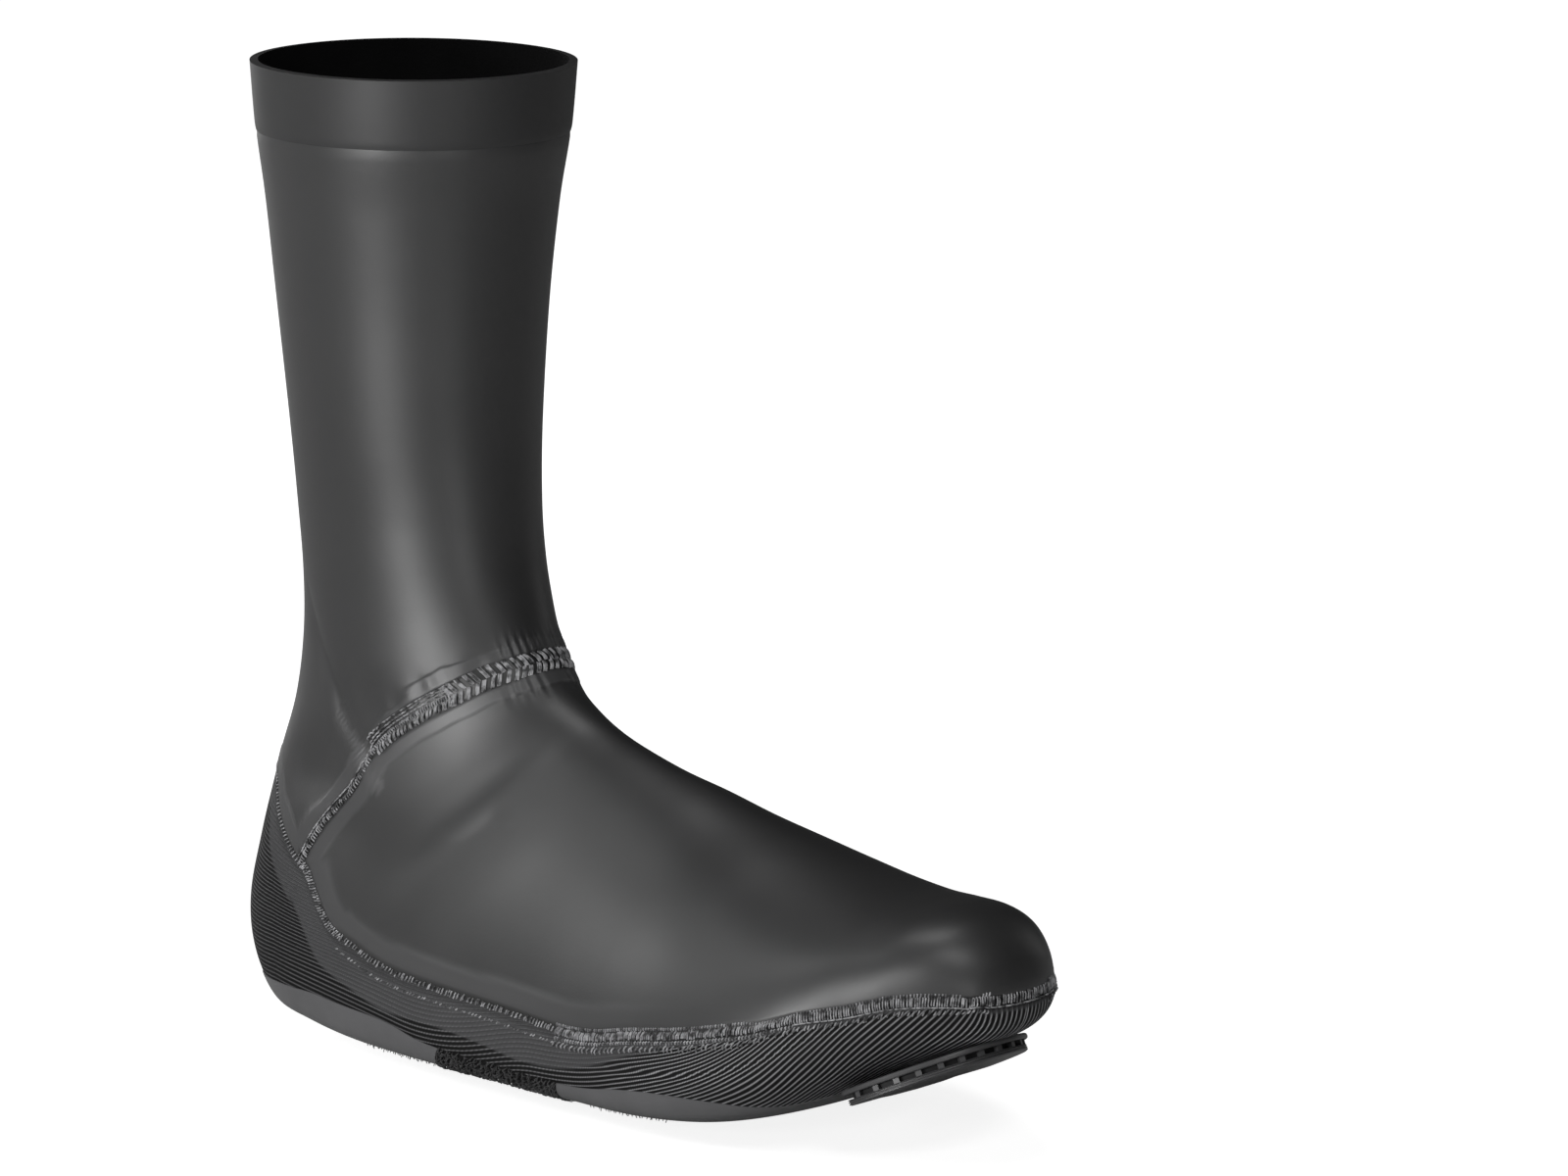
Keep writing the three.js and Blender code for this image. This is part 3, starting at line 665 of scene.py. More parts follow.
def mark_knit(mesh):
    """Ribs follow the girth of the foot in front, the lower edge along the side and the level at the heel."""
    strip, side = round_the_foot(read(mesh, "across"))
    level = read(mesh, "along")
    station, rows = knit_lines(strip)
    points = points_of(mesh)

    sections, girth = girth_table()
    fore = girth_at(girth, read(mesh, "section"), np.abs(read(mesh, "around")))
    join = np.interp(RIB_JOIN_SECTION, sections, girth[:, int(RIB_JOIN_AROUND / GIRTH_ANGLE_STEP)])
    rise = soft_step(points[:, 2], 20 * MM, 60 * MM)
    slope = 0.13 * np.maximum(points[:, 0] + 25 * MM, 0) * (1 - soft_step(points[:, 0], 30 * MM, 90 * MM))
    lean = 0.25 * rise * (points[:, 0] - points[:, 0].min())
    level_rib = join - RIB_JOIN_DROP + points[:, 2] + slope + lean
    rib = mix(level_rib / SIDE_RIB_PITCH, fore / FRONT_RIB_PITCH, soft_step(station, 6.2, 10))
    write(mesh, "rib", rib)
    write(mesh, "bead", station * STATION_SPACING / BEAD_PITCH)

    seam_points = skin(rows[..., 0], side * rows[..., 1])
    below_seam = np.linalg.norm(points - seam_points, axis=1)
    reach = np.interp(station, *BAND_REACH.T) * MM
    write(mesh, "band", 1 - soft_step(below_seam, reach - 0.4 * MM, reach + 0.4 * MM))
    # Painted shade just below the seam, stronger towards the toe, and the share by which the painted rib
    # highlights grow paler towards the front.
    dark = np.interp(station, [7, 9], [0.25, 0.8])
    write(mesh, "seam", dark * (1 - soft_step(below_seam, 2.2 * MM, 3.2 * MM)))
    write(mesh, "front_rib_highlight", soft_step(station, 6.2, 9.5))
    pillow = soft_step(level, 0, 0.25) * (1 - soft_step(level, 0.6, 1.0))
    raise_cloth(mesh, pillow * KNIT_FULLNESS - SEAM_DIP * (below_seam < 0.6 * MM))


def lift_tape(mesh):
    """Lifts a tape off the knit's edge, most along its middle."""
    raise_cloth(mesh, TAPE_LIFT * (0.6 + 0.4 * np.cos(np.pi * (read(mesh, "along") - 0.5))))


mark_knit(knit_mesh)
lift_tape(heel_tape_mesh)
lift_tape(cleat_tape_mesh)


# Stitches

def cloth_surface(meshes):
    bm = bmesh.new()
    for mesh in meshes:
        bm.from_mesh(mesh)
    tree = BVHTree.FromBMesh(bm)
    bm.free()
    return tree


surface = cloth_surface([leg_mesh, upper_mesh, knit_mesh])


def evened(vectors, reach):
    """Directions along a line, each averaged with its neighbours on both sides."""
    kernel = np.ones(2 * reach + 1) / (2 * reach + 1)
    padded = np.pad(vectors, ((reach, reach), (0, 0)), mode="edge")
    return np.stack([np.convolve(column, kernel, "valid") for column in padded.T], axis=1)


RAIL_STEP = 0.5 * MM


def thread_rails(line):
    """Samples of a seam every half millimetre: how far along it, the place and the sideways direction."""
    count = int(line.length / RAIL_STEP)
    runs = np.linspace(0, line.length, count)
    points = line.at(runs)
    forward = evened(np.gradient(points, axis=0), 8)
    forward /= np.linalg.norm(forward, axis=1)[:, None]
    outward = evened(np.array([surface.find_nearest(point)[1] for point in points]), 6)
    sideways = np.cross(outward, forward)
    sideways /= np.linalg.norm(sideways, axis=1)[:, None]
    return {"runs": runs, "points": points, "side": sideways}


def rail_place(rails, run, offset, lift):
    """A point beside the seam, dropped onto the cloth and lifted off it."""
    middle, aside = (
        Vector([float(np.interp(run, rails["runs"], rails[name][:, axis])) for axis in range(3)])
        for name in ("points", "side")
    )
    beside = middle + aside * offset
    place, normal, _, _ = surface.find_nearest(beside)
    return place + normal * lift


def thread_piece(name, threads, radius):
    """Threads as thin round tubes in one piece."""
    curve = bpy.data.curves.new(name, "CURVE")
    curve.dimensions = "3D"
    curve.bevel_depth = radius
    curve.bevel_resolution = 1
    curve.use_fill_caps = True
    for thread in threads:
        spline = curve.splines.new("POLY")
        spline.points.add(len(thread) - 1)
        for point, place in zip(spline.points, thread):
            point.co = (*place, 1)
    loose = in_scene(name + "_thread", curve)
    graph = bpy.context.evaluated_depsgraph_get()
    mesh = bpy.data.meshes.new_from_object(loose.evaluated_get(graph))
    bpy.data.objects.remove(loose)
    mesh.name = name
    mesh.polygons.foreach_set("use_smooth", [True] * len(mesh.polygons))
    return mesh


chance = random.Random(11)
STRAND_SPACING = 0.42 * MM
LOOSE = 0.06


def slanted_stitches(rails, start, end, sizes, bends, strands=1, loose=LOOSE):
    """One short stitch after another across a band, each of one or more strands side by side."""
    pitch, low, high, slant, lift = (size * MM for size in sizes)
    threads = []
    run = start
    while run < end:
        shift = chance.uniform(-loose, loose) * pitch * 2
        for strand in range(strands):
            beside = (strand - (strands - 1) / 2) * STRAND_SPACING
            first = mix(low, high, chance.uniform(-loose, loose))
            last = mix(high, low, chance.uniform(-loose, loose))
            thread = []
            for bend in range(bends + 1):
                t = bend / bends
                place = run + shift + beside + slant * t
                height = lift * (0.1 + math.sin(math.pi * t) ** 0.7)
                thread.append(rail_place(rails, place, mix(first, last, t), height))
            threads.append(thread)
        run += pitch
    return threads


def running_stitches(rails, start, end, sizes):
    """A line of short stitches along the seam."""
    pitch, offset, lift = (size * MM for size in sizes)
    threads = []
    run = start
    while run < end:
        length = pitch * chance.uniform(0.78, 0.9)
        threads.append([
            rail_place(rails, run + length * t, offset, lift * (0.2 + math.sin(math.pi * t)))
            for t in (0, 0.25, 0.5, 0.75, 1)
        ])
        run += pitch
    return threads


# Rows of stitches in millimetres. A running row has its pitch, its distance above the seam and its height. A
# slanting row has its pitch, lower edge, upper edge, slant and height, then the bends of a stitch and, where
# they differ from the usual, its strands and how loosely it is placed.

# Over the instep: two rows of bold slanting stitches that meet in the middle.
BOLD_ROWS = [((2.4, -3.3, -0.2, 1.5, 0.6), 4, 3, 0.08), ((2.4, 0.2, 3.3, -1.5, 0.6), 4, 3, 0.08)]
# At the instep's two corners: thin rows above, a dense ladder in the middle and loops below.
LADDER_ROWS = [((1.4, offset, 0.45),) for offset in (3.2, 2.2, 1.2)] + [
    ((0.8, -0.7, 0.5, 0.2, 0.5), 2, 1, 0.1),
    ((1.6, -2.9, -1.0, 1.0, 0.6), 4, 2, 0.12),
]
# Down both sides of the ankle: short loops and a line of dashes.
NARROW_ROWS = [((1.0, -1.0, 0.7, 0.5, 0.4), 2, 1, 0.12), ((1.3, 1.2, 0.3),)]
# Beside the heel: two close rows of small bright ticks.
HEEL_SIDE_ROWS = [((0.85, -1.2, -0.1, 0.4, 0.3), 2, 1, 0.15), ((0.85, 0.1, 1.1, 0.4, 0.3), 2, 1, 0.15)]
# Behind the ball: small slanting dashes on the cloth's edge and a faint row below.
EDGE_ROWS = [((1.3, -0.8, 0.8, 0.7, 0.2), 3, 1, 0.2), ((1.7, -4.1, -3.5, 0.7, 0.02), 2, 1, 0.2)]
# Along the ball: close slanting stitches, specks above and below them, and a row of loops.
SIDE_ROWS = [
    ((0.8, -1.3, 0.8, 0.6, 0.5), 3, 1, 0.12),
    ((0.95, 1.2, 2.0, 0.3, 0.25), 2),
    ((1.1, -2.7, -1.9, 0.3, 0.4), 2),
    ((1.7, -4.8, -3.3, 0.9, 0.6), 3, 1, 0.15),
]
# Beside the toe: close upright stitches under a row of specks, a plain line and loops below.
FRONT_ROWS = [
    ((0.75, -1.5, 1.4, 0.25, 0.5), 3, 1, 0.1),
    ((0.95, 1.7, 2.4, 0.2, 0.25), 2),
    ((2.1, -1.9, 0.35),),
    ((1.5, -4.2, -2.9, 0.7, 0.5), 3, 1, 0.15),
]
# Across the toe: fine ticks over a plain line.
TOE_ROWS = [((1.0, -1.3, 1.2, 0.15, 0.4), 3, 1, 0.1), ((2.4, -1.8, 0.35),)]
# Round the top of the heel: one even row.
HEEL_ROWS = [((1.2, -0.9, 0.9, 0.5, 0.3), 3)]


def stitched(line, turns, stretches):
    """The threads of a whole seam: its rows for each stretch between the turns along it."""
    rails = thread_rails(line)
    ends = [0, *turns, line.length]
    threads = []
    for start, end, rows in zip(ends, ends[1:], stretches):
        for row in rows:
            sew = slanted_stitches if len(row) > 1 else running_stitches
            threads += sew(rails, start, end, *row)
    return threads


LADDER_FROM = 45
ankle_turns = [ankle_line.run_at(angle) for angle in (-NARROW_FROM, -LADDER_FROM, LADDER_FROM, NARROW_FROM)]
ankle_stretches = [NARROW_ROWS, LADDER_ROWS, BOLD_ROWS, LADDER_ROWS, NARROW_ROWS]
ankle_stitch_mesh = thread_piece(
    "ankle_seam_stitching", stitched(ankle_line, ankle_turns, ankle_stretches), 0.25 * MM
)


def knit_run(strip):
    """How far along the knit seam a strip of its outer half lies."""
    section, around = knit_place(np.array([float(strip)]), -1, 0.0)
    return float(knit_line.nearest(skin(section, around))[1][0])


# Strips at which the knit seam's stitching changes, from the heel to the toe.
KNIT_TURNS = (10.5, 16.5, 23, 35)
knit_turns = [knit_run(strip) for strip in KNIT_TURNS]
far_turns = [knit_line.length - turn for turn in reversed(knit_turns)]
half_seam = [HEEL_SIDE_ROWS, EDGE_ROWS, SIDE_ROWS, FRONT_ROWS]
knit_stretches = [*half_seam, TOE_ROWS, *reversed(half_seam)]
knit_stitch_mesh = thread_piece(
    "knit_seam_stitching", stitched(knit_line, knit_turns + far_turns, knit_stretches), 0.24 * MM
)
heel_stitch_mesh = thread_piece("heel_seam_stitching", stitched(heel_line, [], [HEEL_ROWS]), 0.2 * MM)


def frayed_ends(tree, place, start, end, count):
    """Short cut ends of knit yarn that show under the edge of an opening tape."""
    threads = []
    for step in range(count):
        across = mix(start, end, (step + chance.uniform(0.1, 0.9)) / count)
        section, around = place(np.array([across]), np.array([0.97]))
        root, normal, _, _ = tree.find_nearest(skin(section, around)[0])
        lean = Vector((chance.uniform(-0.7, 0.7), chance.uniform(-0.5, 0.5), -1.0)).normalized()
        size = chance.uniform(0.35, 0.9) * MM
        threads.append([root, root + (normal * 0.35 + lean) * size * 0.5, root + lean * size])
    return threads


# Frayed ends along a tape: its places, the farthest and nearest share from its middle, and their number.
FRAYED_STRETCHES = [(heel_tape_place, 0.5, 0.4, 34), (cleat_tape_place, 0.49, 0.43, 24)]
tape_surface = cloth_surface([heel_tape_mesh, cleat_tape_mesh])
fray_threads = []
for side in (-1, 1):
    for place, far, near, count in FRAYED_STRETCHES:
        ends = sorted((0.5 + side * far, 0.5 + side * near))
        fray_threads += frayed_ends(tape_surface, place, *ends, count)
fray_mesh = thread_piece("opening_frayed_ends", fray_threads, 0.13 * MM)

LOOP_COLUMNS = 58
LOOP_ROWS = 22


def patch_loops(mesh):
    """Short loops of yarn standing all over the arch patch."""
    tree = cloth_surface([mesh])
    threads = []
    for column in range(LOOP_COLUMNS):
        for row in range(LOOP_ROWS):
            across = (column + 0.5 + chance.uniform(-0.3, 0.3)) / LOOP_COLUMNS
            along = (row + 0.5 + chance.uniform(-0.3, 0.3)) / LOOP_ROWS
            section, around = patch_place(np.array([across]), np.array([along]))
            place, normal, _, _ = tree.find_nearest(skin(section, around)[0])
            turn = chance.uniform(0, 2 * math.pi)
            first = normal.orthogonal().normalized()
            lean = first * math.cos(turn) + normal.cross(first) * math.sin(turn)
            size = chance.uniform(0.75, 1.15) * MM
            threads.append([
                place + lean * size * math.cos(step) * 0.8 + normal * (size * math.sin(step) * 0.9)
                for step in (-0.3, 0.4, 1.1, 1.9, 2.6, 3.4)
            ])
    return thread_piece("arch_patch_loops", threads, 0.17 * MM)


loops_mesh = patch_loops(patch_mesh)


# Toe guard

GUARD_REAR = 239 * MM
GUARD_FRONT = 273 * MM
GUARD_SHOULDER = 243 * MM
GUARD_WIDTH = 61 * MM
GUARD_SWAY = 3.8 * MM
GUARD_CLEARANCE = 0.6 * MM
TOE_SPRING = math.radians(25)
GUARD_PLANE_HEIGHT = 19.2 * MM
GUARD_PLANE_START = 188 * MM
GUARD_POINTS = 160


def guard_outline(angle, inset, share=1.0):
    """The guard's outline in plan: straight behind and round in front."""
    front = math.cos(angle) > 0
    reach = GUARD_FRONT - GUARD_SHOULDER if front else GUARD_SHOULDER - GUARD_REAR
    lengthwise, crosswise = (1.8, 2.1) if front else (4, 6)
    x = GUARD_SHOULDER + signed_power(math.cos(angle), 2 / lengthwise) * (reach - inset)
    y = GUARD_SWAY + signed_power(math.sin(angle), 2 / crosswise) * (GUARD_WIDTH / 2 - inset)
    middle_x = mix(GUARD_SHOULDER, GUARD_FRONT, 0.3)
    return mix(middle_x, x, share), mix(GUARD_SWAY, y, share)


UNDER_SECTIONS = np.linspace(20, TOE_SECTION, 400)
UNDER_ROWS = smooth_rows(SKIN, UNDER_SECTIONS)


def toe_underside(x, y):
    """Height of the toe's underside at a place in plan."""
    top_x, top_z, bottom_x, bottom_z, half, widest, _, round_bottom, sway, bow = UNDER_ROWS.T
    share = np.minimum(np.abs(y - sway) / half, 1)
    drop = (1 - share**round_bottom) ** (1 / round_bottom)
    down = widest + (1 - widest) * drop
    edge_x = mix(top_x, bottom_x, down) - bow * share * share
    return float(np.interp(x, edge_x, mix(top_z, bottom_z, down)))


def guard_place(x, y, depth):
    """The guard is a nearly flat plate that climbs with the toe; its middle is let up into the opening."""
    down = Vector((math.sin(TOE_SPRING), 0, -math.cos(TOE_SPRING)))
    ahead = x - LEG_AXIS - GUARD_PLANE_START
    plane = GUARD_PLANE_HEIGHT + ahead * math.tan(TOE_SPRING)
    height = min(plane, toe_underside(x, y) + 0.5 * MM)
    return Vector((x - LEG_AXIS, y, height)) + down * (GUARD_CLEARANCE + depth)


RECESS_INSET = 2.6
# Down the guard's side: depth below its top and how far in from its outline, in millimetres.
GUARD_LEVELS = [
    (0.0, 0.5), (0.25, 0.12), (0.8, 0.0), (1.35, 0.12), (1.6, 0.5), (1.6, RECESS_INSET),
    (3.1, RECESS_INSET), (3.1, 1.1), (3.3, 0.95), (3.45, 1.3), (3.6, 1.3), (3.7, 1.0), (3.95, 0.95),
    (4.05, 1.3), (4.2, 1.3), (4.3, 1.0), (4.5, 1.0), (4.8, 1.5),
]
# Rings from the outline to the middle of the top and of the tread, as shares of the way out.
CAP_SHARES = (0.9, 0.77, 0.55, 0.3)
# Webs in the recess: the degrees round of each and its width, then in millimetres its outer face, its length
# inward, its top and its height.
WEB_TURNS = range(-84, 85, 12)
WEB_WIDTH = 3.2
WEB_INSET = 1.2
WEB_LENGTH = 1.7
WEB_TOP = 1.5
WEB_HEIGHT = 1.7


def guard_mesh_made():
    """The lip, the recess with its webs and the grooved tread, ring by ring."""
    bm = bmesh.new()
    bmesh.ops.create_circle(bm, segments=GUARD_POINTS, radius=1)
    top = sorted(bm.verts, key=lambda v: math.atan2(v.co.y, v.co.x))
    angles = [math.atan2(v.co.y, v.co.x) for v in top]

    def settle(ring, depth, inset, share=1.0):
        for vertex, angle in zip(ring, angles):
            vertex.co = guard_place(*guard_outline(angle, inset * MM, share), depth * MM)

    def next_ring(ring):
        """A new ring joined to the last by a strip of faces, its corners in the same order."""
        inside = set(ring)
        edges = [e for e in bm.edges if e.verts[0] in inside and e.verts[1] in inside]
        made = bmesh.ops.extrude_edge_only(bm, edges=edges)["geom"]
        order = {}
        for vertex in (g for g in made if isinstance(g, bmesh.types.BMVert)):
            for edge in vertex.link_edges:
                other = edge.other_vert(vertex)
                if other in inside:
                    order[other] = vertex
        return [order[v] for v in ring]

    def cap(ring, level):
        for share in CAP_SHARES:
            ring = next_ring(ring)
            settle(ring, *level, share)
        bm.faces.new(ring)

    settle(top, *GUARD_LEVELS[0])
    cap(top, GUARD_LEVELS[0])
    ring = top
    for depth, inset in GUARD_LEVELS[1:]:
        made_before = set(bm.faces)
        ring = next_ring(ring)
        settle(ring, depth, inset)
        # The recess's faces take the darker copy of the rubber, as painted shade in the recess.
        for face in set(bm.faces) - made_before:
            face.material_index = int(inset == RECESS_INSET)
    cap(ring, GUARD_LEVELS[-1])
    bmesh.ops.triangulate(bm, faces=[f for f in bm.faces if len(f.verts) > 4])
    bmesh.ops.recalc_face_normals(bm, faces=bm.faces)
    for turn in WEB_TURNS:
        add_guard_web(bm, math.radians(turn))
    return mesh_from(bm, "toe_guard_moulding")


def add_guard_web(bm, angle):
    """A short upright web between the lip and the tread."""
    made = bmesh.ops.create_cube(bm, size=1)["verts"]
    for vertex in made:
        turn = angle + vertex.co.x * math.radians(WEB_WIDTH)
        inset = WEB_INSET + WEB_LENGTH * (vertex.co.y + 0.5)
        depth = WEB_TOP + WEB_HEIGHT * (vertex.co.z + 0.5)
        vertex.co = guard_place(*guard_outline(turn, inset * MM), depth * MM)
    bmesh.ops.recalc_face_normals(bm, faces=list({f for v in made for f in v.link_faces}))


guard_mesh = guard_mesh_made()


# Materials

BLUE_LEAN = 1.03


def new_finish(name):
    """A material with its node tree and its shader."""
    material = bpy.data.materials.new(name)
    material.use_nodes = True
    return material, material.node_tree, material.node_tree.nodes["Principled BSDF"]


def feed(tree, node, inputs):
    """Links the values that come out of other nodes and sets the plain ones."""
    for key, value in inputs.items():
        if isinstance(value, bpy.types.NodeSocket):
            tree.links.new(value, node.inputs[key])
        else:
            node.inputs[key].default_value = value


def add_node(tree, kind, inputs, output, **settings):
    node = tree.nodes.new(kind)
    for key, value in settings.items():
        setattr(node, key, value)
    feed(tree, node, inputs)
    return node.outputs[output]


def object_places(tree):
    return add_node(tree, "ShaderNodeTexCoord", {}, "Object")


def noise(tree, scale, detail=2.0):
    inputs = {"Vector": object_places(tree), "Scale": scale, "Detail": detail, "Roughness": 0.5}
    return add_node(tree, "ShaderNodeTexNoise", inputs, "Fac")


def mark(tree, name):
    return add_node(tree, "ShaderNodeAttribute", {}, "Fac", attribute_name=name)


def calculate(tree, operation, first, second=0.0, third=0.0):
    return add_node(tree, "ShaderNodeMath", {0: first, 1: second, 2: third}, 0, operation=operation)


def wave(tree, name, depth):
    """A wave for every whole step of a mark, from 1 down to 1 less twice the depth."""
    turned = calculate(tree, "MULTIPLY", mark(tree, name), 2 * math.pi)
    return calculate(tree, "MULTIPLY_ADD", calculate(tree, "SINE", turned), depth, 1 - depth)


def span(tree, value, low, high, start=0.0, end=1.0):
    """Carries the values from start to end over to low to high."""
    inputs = {"Value": value, "From Min": start, "From Max": end, "To Min": low, "To Max": high}
    return add_node(tree, "ShaderNodeMapRange", inputs, "Result")


def blend(tree, share, *pair):
    """A colour between two, each of them a grey that leans to blue or a colour from another node."""
    first, second = (
        colour if isinstance(colour, bpy.types.NodeSocket) else (colour, colour, colour * BLUE_LEAN, 1)
        for colour in pair
    )
    return add_node(tree, "ShaderNodeMix", {0: share, 6: first, 7: second}, 2, data_type="RGBA")


def bump(tree, height, distance, strength, **below):
    inputs = {"Height": height, "Distance": distance, "Strength": strength, **below}
    return add_node(tree, "ShaderNodeBump", inputs, "Normal")


def coated_cloth(name, roughness, specular):
    """Smooth rubber-coated stretch cloth: fine grain, soft sheen, a painted highlight where the tape lies
    behind it and painted shade under the stitches.
    """
    material, tree, shader = new_finish(name)
    cloud = noise(tree, 38, 3)
    plain = blend(tree, cloud, 0.017, 0.023)
    # A painted highlight on the cloth where the tape lies behind it.
    painted_tape_highlight = blend(tree, mark(tree, "tape"), plain, 0.062)
    soft = bump(tree, cloud, 0.25 * MM, 0.5)
    feed(tree, shader, {
        # Painted shade, almost black, in the dip under the stitches.
        "Base Color": blend(tree, mark(tree, "seam"), painted_tape_highlight, 0.002),
        "Roughness": span(tree, cloud, roughness, roughness + 0.07),
        "Specular IOR Level": specular,
        "Normal": bump(tree, noise(tree, 1500), 0.03 * MM, 0.6, Normal=soft),
    })
    return material


def ribbed_knit():
    """Fine ribs: painted highlights on the beaded ridges over gaps painted almost black as shade, filled in
    by the bonded band under the seam, with painted shade under the seam's stitches.
    """
    material, tree, shader = new_finish("ribbed_stretch_knit")
    ridge = wave(tree, "rib", 0.5)
    bead = wave(tree, "bead", 0.25)
    # The ridges' highlights and the gaps' shade are painted into the colour; the highlights are painted paler
    # towards the front.
    lit = calculate(tree, "MULTIPLY", calculate(tree, "POWER", ridge, 5.0), bead)
    pale = blend(tree, mark(tree, "front_rib_highlight"), 0.21, 0.6)
    open_knit = blend(tree, lit, 0.0015, pale)
    filled = blend(tree, lit, 0.07, 0.13)
    banded = blend(tree, mark(tree, "band"), open_knit, filled)
    # Painted shade just below the seam.
    dark = blend(tree, mark(tree, "seam"), banded, 0.004)
    height = calculate(tree, "MULTIPLY", calculate(tree, "POWER", ridge, 1.6), bead)
    feed(tree, shader, {
        "Base Color": blend(tree, span(tree, noise(tree, 60), 0.0, 0.25), dark, 0.008),
        "Roughness": 0.7,
        "Specular IOR Level": 0.2,
        "Normal": bump(tree, height, 0.45 * MM, 0.9),
    })
    return material


def plain_finish(name, low, high, roughness, grain_scale, grain_height, specular=0.5, sheen=0.0):
    """A cloudy dark finish with a grain of its own size."""
    material, tree, shader = new_finish(name)
    grain = noise(tree, grain_scale, 3)
    feed(tree, shader, {
        "Base Color": blend(tree, noise(tree, 90, 3), low, high),
        "Roughness": span(tree, grain, roughness - 0.05, roughness + 0.05),
        "Specular IOR Level": specular,
        "Sheen Weight": sheen,
        "Normal": bump(tree, grain, grain_height, 0.7),
    })
    return material


def thread_finish():
    """Woolly nylon thread, dark, with pale patches painted on as glints."""
    material, tree, shader = new_finish("seam_thread")
    patchy = span(tree, noise(tree, 480), 0.0, 1.0, 0.36, 0.64)
    feed(tree, shader, {
        "Base Color": blend(tree, patchy, 0.04, 0.42),
        "Roughness": 0.4,
        "Normal": bump(tree, noise(tree, 3500), 0.05 * MM, 0.8),
    })
    return material


coated = coated_cloth("coated_stretch_cloth", 0.41, 0.9)
cuff_cloth = coated_cloth("turned_cuff_cloth", 0.48, 0.66)
# The lining is black, and painted darker still as shade inside the overshoe.
lining = plain_finish("brushed_lining", 0.003, 0.006, 0.95, 700, 0.2 * MM, specular=0.1)
knit = ribbed_knit()
tape_film = plain_finish("bonded_hem_film", 0.09, 0.125, 0.32, 500, 0.05 * MM)
loop_ground = plain_finish("loop_patch_ground", 0.004, 0.010, 0.9, 800, 0.3 * MM, specular=0.2)
loop_yarn = plain_finish("loop_patch_yarn", 0.006, 0.045, 0.6, 900, 0.05 * MM, sheen=0.1)
rubber = plain_finish("moulded_guard_rubber", 0.05, 0.065, 0.42, 1200, 0.006 * MM, specular=0.6)
# A darker copy of the guard's rubber, as painted shade in the recess.
recess_rubber = plain_finish("guard_recess_rubber", 0.012, 0.02, 0.55, 1200, 0.006 * MM, specular=0.2)
thread = thread_finish()


# Pieces into the scene

def place_piece(name, mesh, materials, wall=0.0, stands_for=()):
    """Stands a mesh in the scene: its finish, and its wall inward from the surface where it is cloth."""
    piece = in_scene(name, mesh)
    for material in materials:
        mesh.materials.append(material)
    if wall:
        thick = piece.modifiers.new("wall", "SOLIDIFY")
        thick.thickness = wall
        thick.offset = -1
        thick.use_even_offset = False
        if len(materials) > 1:
            thick.material_offset = 1
    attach(piece, "root")
    if stands_for:
        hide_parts(*stands_for)
    return piece


# The cuff stands a little proud of the leg, and the leg's top edge slips under it.
raise_cloth(cuff_mesh, CUFF_RAISE * (1 - 0.9 * soft_step(read(cuff_mesh, "section"), 0.93, 1.0)))
raise_cloth(leg_mesh, -0.25 * MM * (1 - soft_step(read(leg_mesh, "section"), 1.0, 1.07)))
cuff_piece = place_piece(
    "cuff_band", cuff_mesh, [cuff_cloth, lining], CUFF_WALL, ["cuff_hem"]
)
leg_piece = place_piece("leg_cloth", leg_mesh, [coated, lining], CLOTH_WALL, ["leg_tube"])
upper_piece = place_piece(
    "foot_cloth", upper_mesh, [coated, lining], CLOTH_WALL, ["foot_upper"]
)
knit_piece = place_piece("sole_knit_band", knit_mesh, [knit, lining], KNIT_WALL, ["sole_knit"])
heel_tape_piece = place_piece(
    "heel_opening_tape", heel_tape_mesh, [tape_film, lining], TAPE_WALL, ["heel_hem_tape"]
)
cleat_tape_piece = place_piece(
    "cleat_opening_tape", cleat_tape_mesh, [tape_film, lining], TAPE_WALL, ["cleat_hem_tape"]
)
patch_piece = place_piece(
    "arch_loop_patch", patch_mesh, [loop_ground, lining], PATCH_WALL, ["arch_patch"]
)
loops_piece = place_piece("arch_patch_loops", loops_mesh, [loop_yarn])
place_piece("toe_guard_moulding", guard_mesh, [rubber, recess_rubber], 0, ["toe_guard"])
ankle_stitch_piece = place_piece("ankle_seam_stitching", ankle_stitch_mesh, [thread])
knit_stitch_piece = place_piece("knit_seam_stitching", knit_stitch_mesh, [thread])
place_piece("opening_frayed_ends", fray_mesh, [loop_yarn])
heel_stitch_piece = place_piece("heel_seam_stitching", heel_stitch_mesh, [thread])


# Studio

CAMERA_PLACE = Vector((1.6605, -1.6617, 0.604))
CAMERA_AIM = Vector((0.0747, 0.0759, 0.130))
LIGHT_AIM = Vector((0.06, 0, 0.12))
FLOOR_DROP = 1.2 * MM
# Soft boxes: degrees to the left of the camera, degrees above the floor, then distance, width and height in
# metres, and power.
SOFT_BOXES = {
    "key_box": (40, 2, 1.8, 0.6, 0.2, 13),
    "second_box": (24, 18, 2.9, 0.5, 0.45, 11),
    "side_box": (108, 18, 1.8, 0.85, 0.45, 7.5),
    "upper_side_box": (72, 45, 1.8, 0.6, 0.45, 3.2),
    "upper_front_box": (-20, 45, 1.8, 0.5, 0.45, 5),
    "low_front_box": (-20, 2, 2.9, 0.45, 0.2, 6),
    "top_box": (0, 88, 1.8, 0.6, 0.6, 5.5),
    "rim_box": (-125, 14, 1.8, 0.3, 0.9, 0.7),
    "back_box": (152, 12, 1.8, 0.7, 0.9, 5),
}


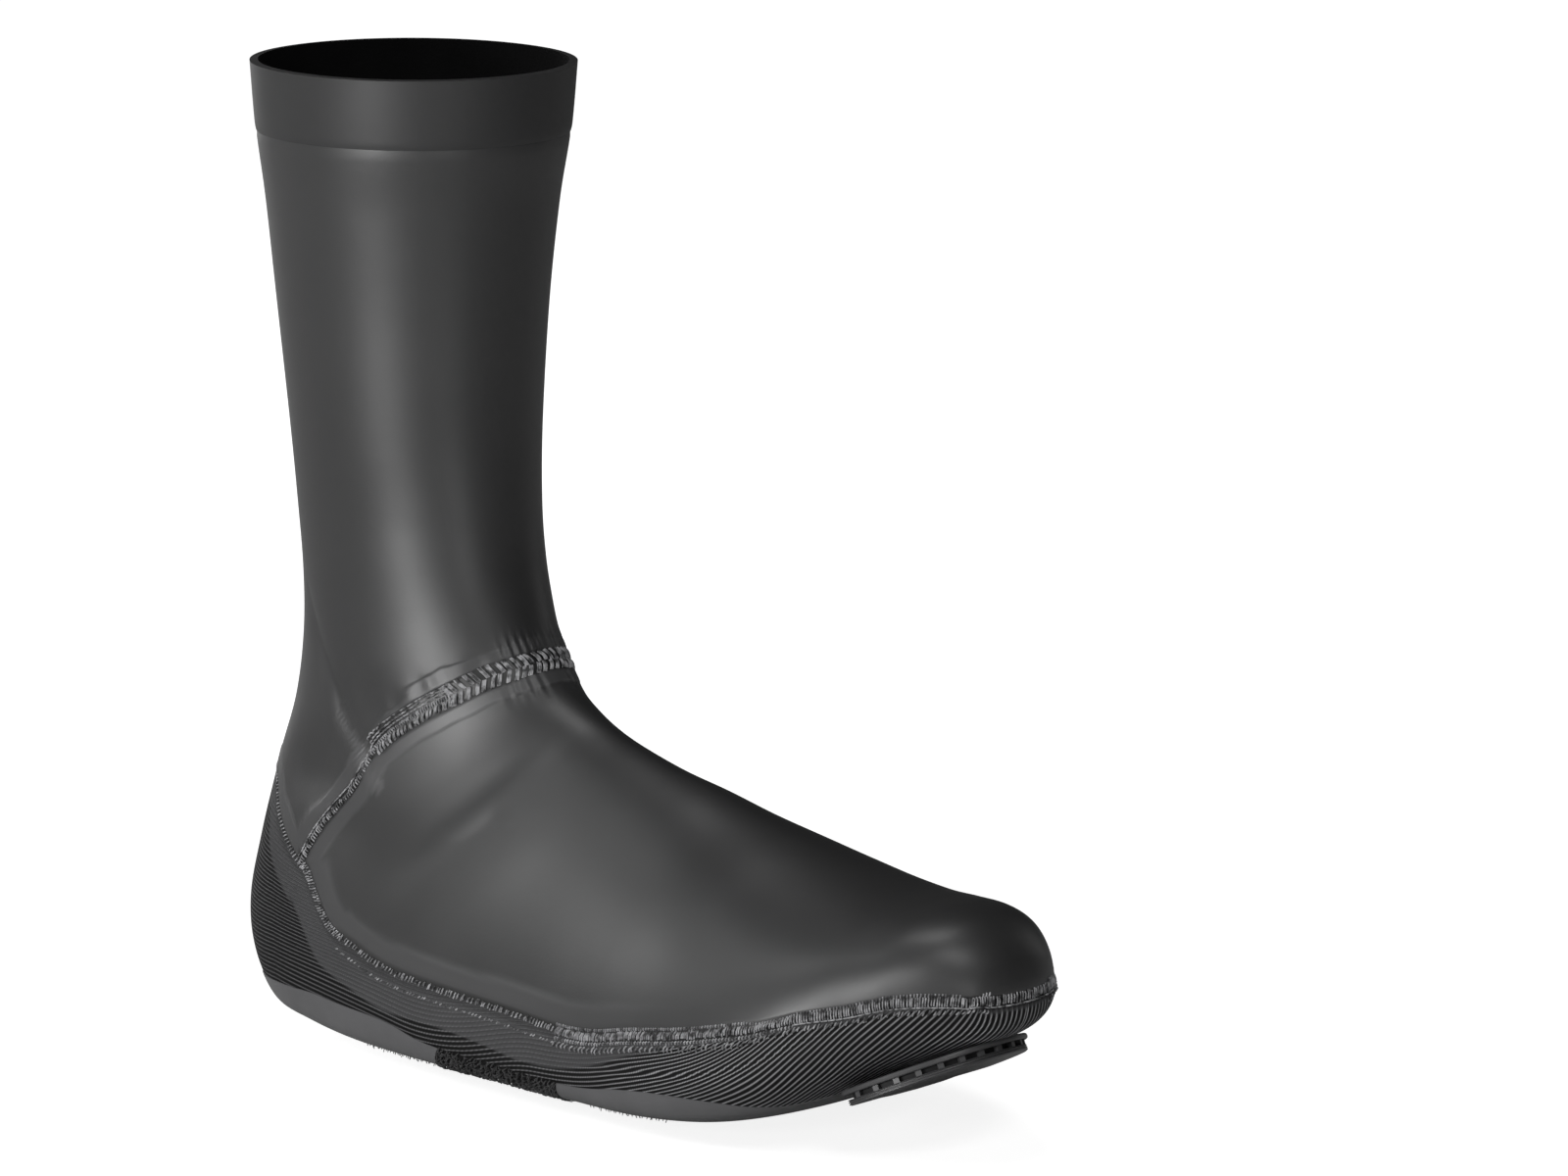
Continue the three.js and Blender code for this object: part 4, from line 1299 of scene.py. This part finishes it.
def studio_floor():
    """A pale floor that glows a little less near the overshoe, so that a soft shadow shows there."""
    bm = bmesh.new()
    bmesh.ops.create_grid(bm, x_segments=2, y_segments=2, size=7)
    mesh = mesh_from(bm, "studio_floor")
    floor = in_scene("studio_floor", mesh)
    floor.location = (0, 0, -FLOOR_DROP)
    material, tree, shader = new_finish("pale_floor")
    seen = add_node(tree, "ShaderNodeLightPath", {}, "Is Camera Ray")
    away = add_node(tree, "ShaderNodeVectorMath", {0: object_places(tree)}, "Value", operation="LENGTH")
    feed(tree, shader, {
        "Base Color": (0.62, 0.62, 0.62, 1),
        "Roughness": 0.9,
        "Specular IOR Level": 0.1,
        "Emission Color": (1, 1, 1, 1),
        "Emission Strength": calculate(tree, "MULTIPLY", seen, span(tree, away, 0.84, 1.0, 0.25, 0.8)),
    })
    mesh.materials.append(material)


def studio_world():
    """White behind the overshoe, and almost no light on it."""
    world = bpy.data.worlds.new("studio")
    bpy.context.scene.world = world
    world.use_nodes = True
    tree = world.node_tree
    seen = add_node(tree, "ShaderNodeLightPath", {}, "Is Camera Ray")
    feed(tree, tree.nodes["Background"], {"Color": (1, 1, 1, 1), "Strength": span(tree, seen, 0.02, 1.0)})


def soft_light(name, turn, rise, distance, width, height, power):
    """A soft box aimed at the overshoe."""
    back = CAMERA_PLACE - LIGHT_AIM
    angle = math.atan2(back.y, back.x) - math.radians(turn)
    lift = math.radians(rise)
    direction = Vector((math.cos(angle) * math.cos(lift), math.sin(angle) * math.cos(lift), math.sin(lift)))
    light = bpy.data.lights.new(name, "AREA")
    light.shape = "RECTANGLE"
    light.size = width
    light.size_y = height
    light.energy = power
    lamp = in_scene(name, light)
    lamp.location = LIGHT_AIM + direction * distance
    lamp.rotation_euler = (-direction).to_track_quat("-Z", "Y").to_euler()


def studio_camera():
    data = bpy.data.cameras.new("camera")
    data.sensor_width = 36
    data.lens = 189
    data.clip_start = 0.1
    data.clip_end = 50
    camera = in_scene("camera", data)
    camera.location = CAMERA_PLACE
    camera.rotation_euler = (CAMERA_AIM - CAMERA_PLACE).to_track_quat("-Z", "Y").to_euler()
    bpy.context.scene.camera = camera


studio_floor()
studio_world()
studio_camera()
for box_name, box in SOFT_BOXES.items():
    soft_light(box_name, *box)
bpy.context.scene.view_settings.view_transform = "Standard"
bpy.context.scene.view_settings.look = "None"
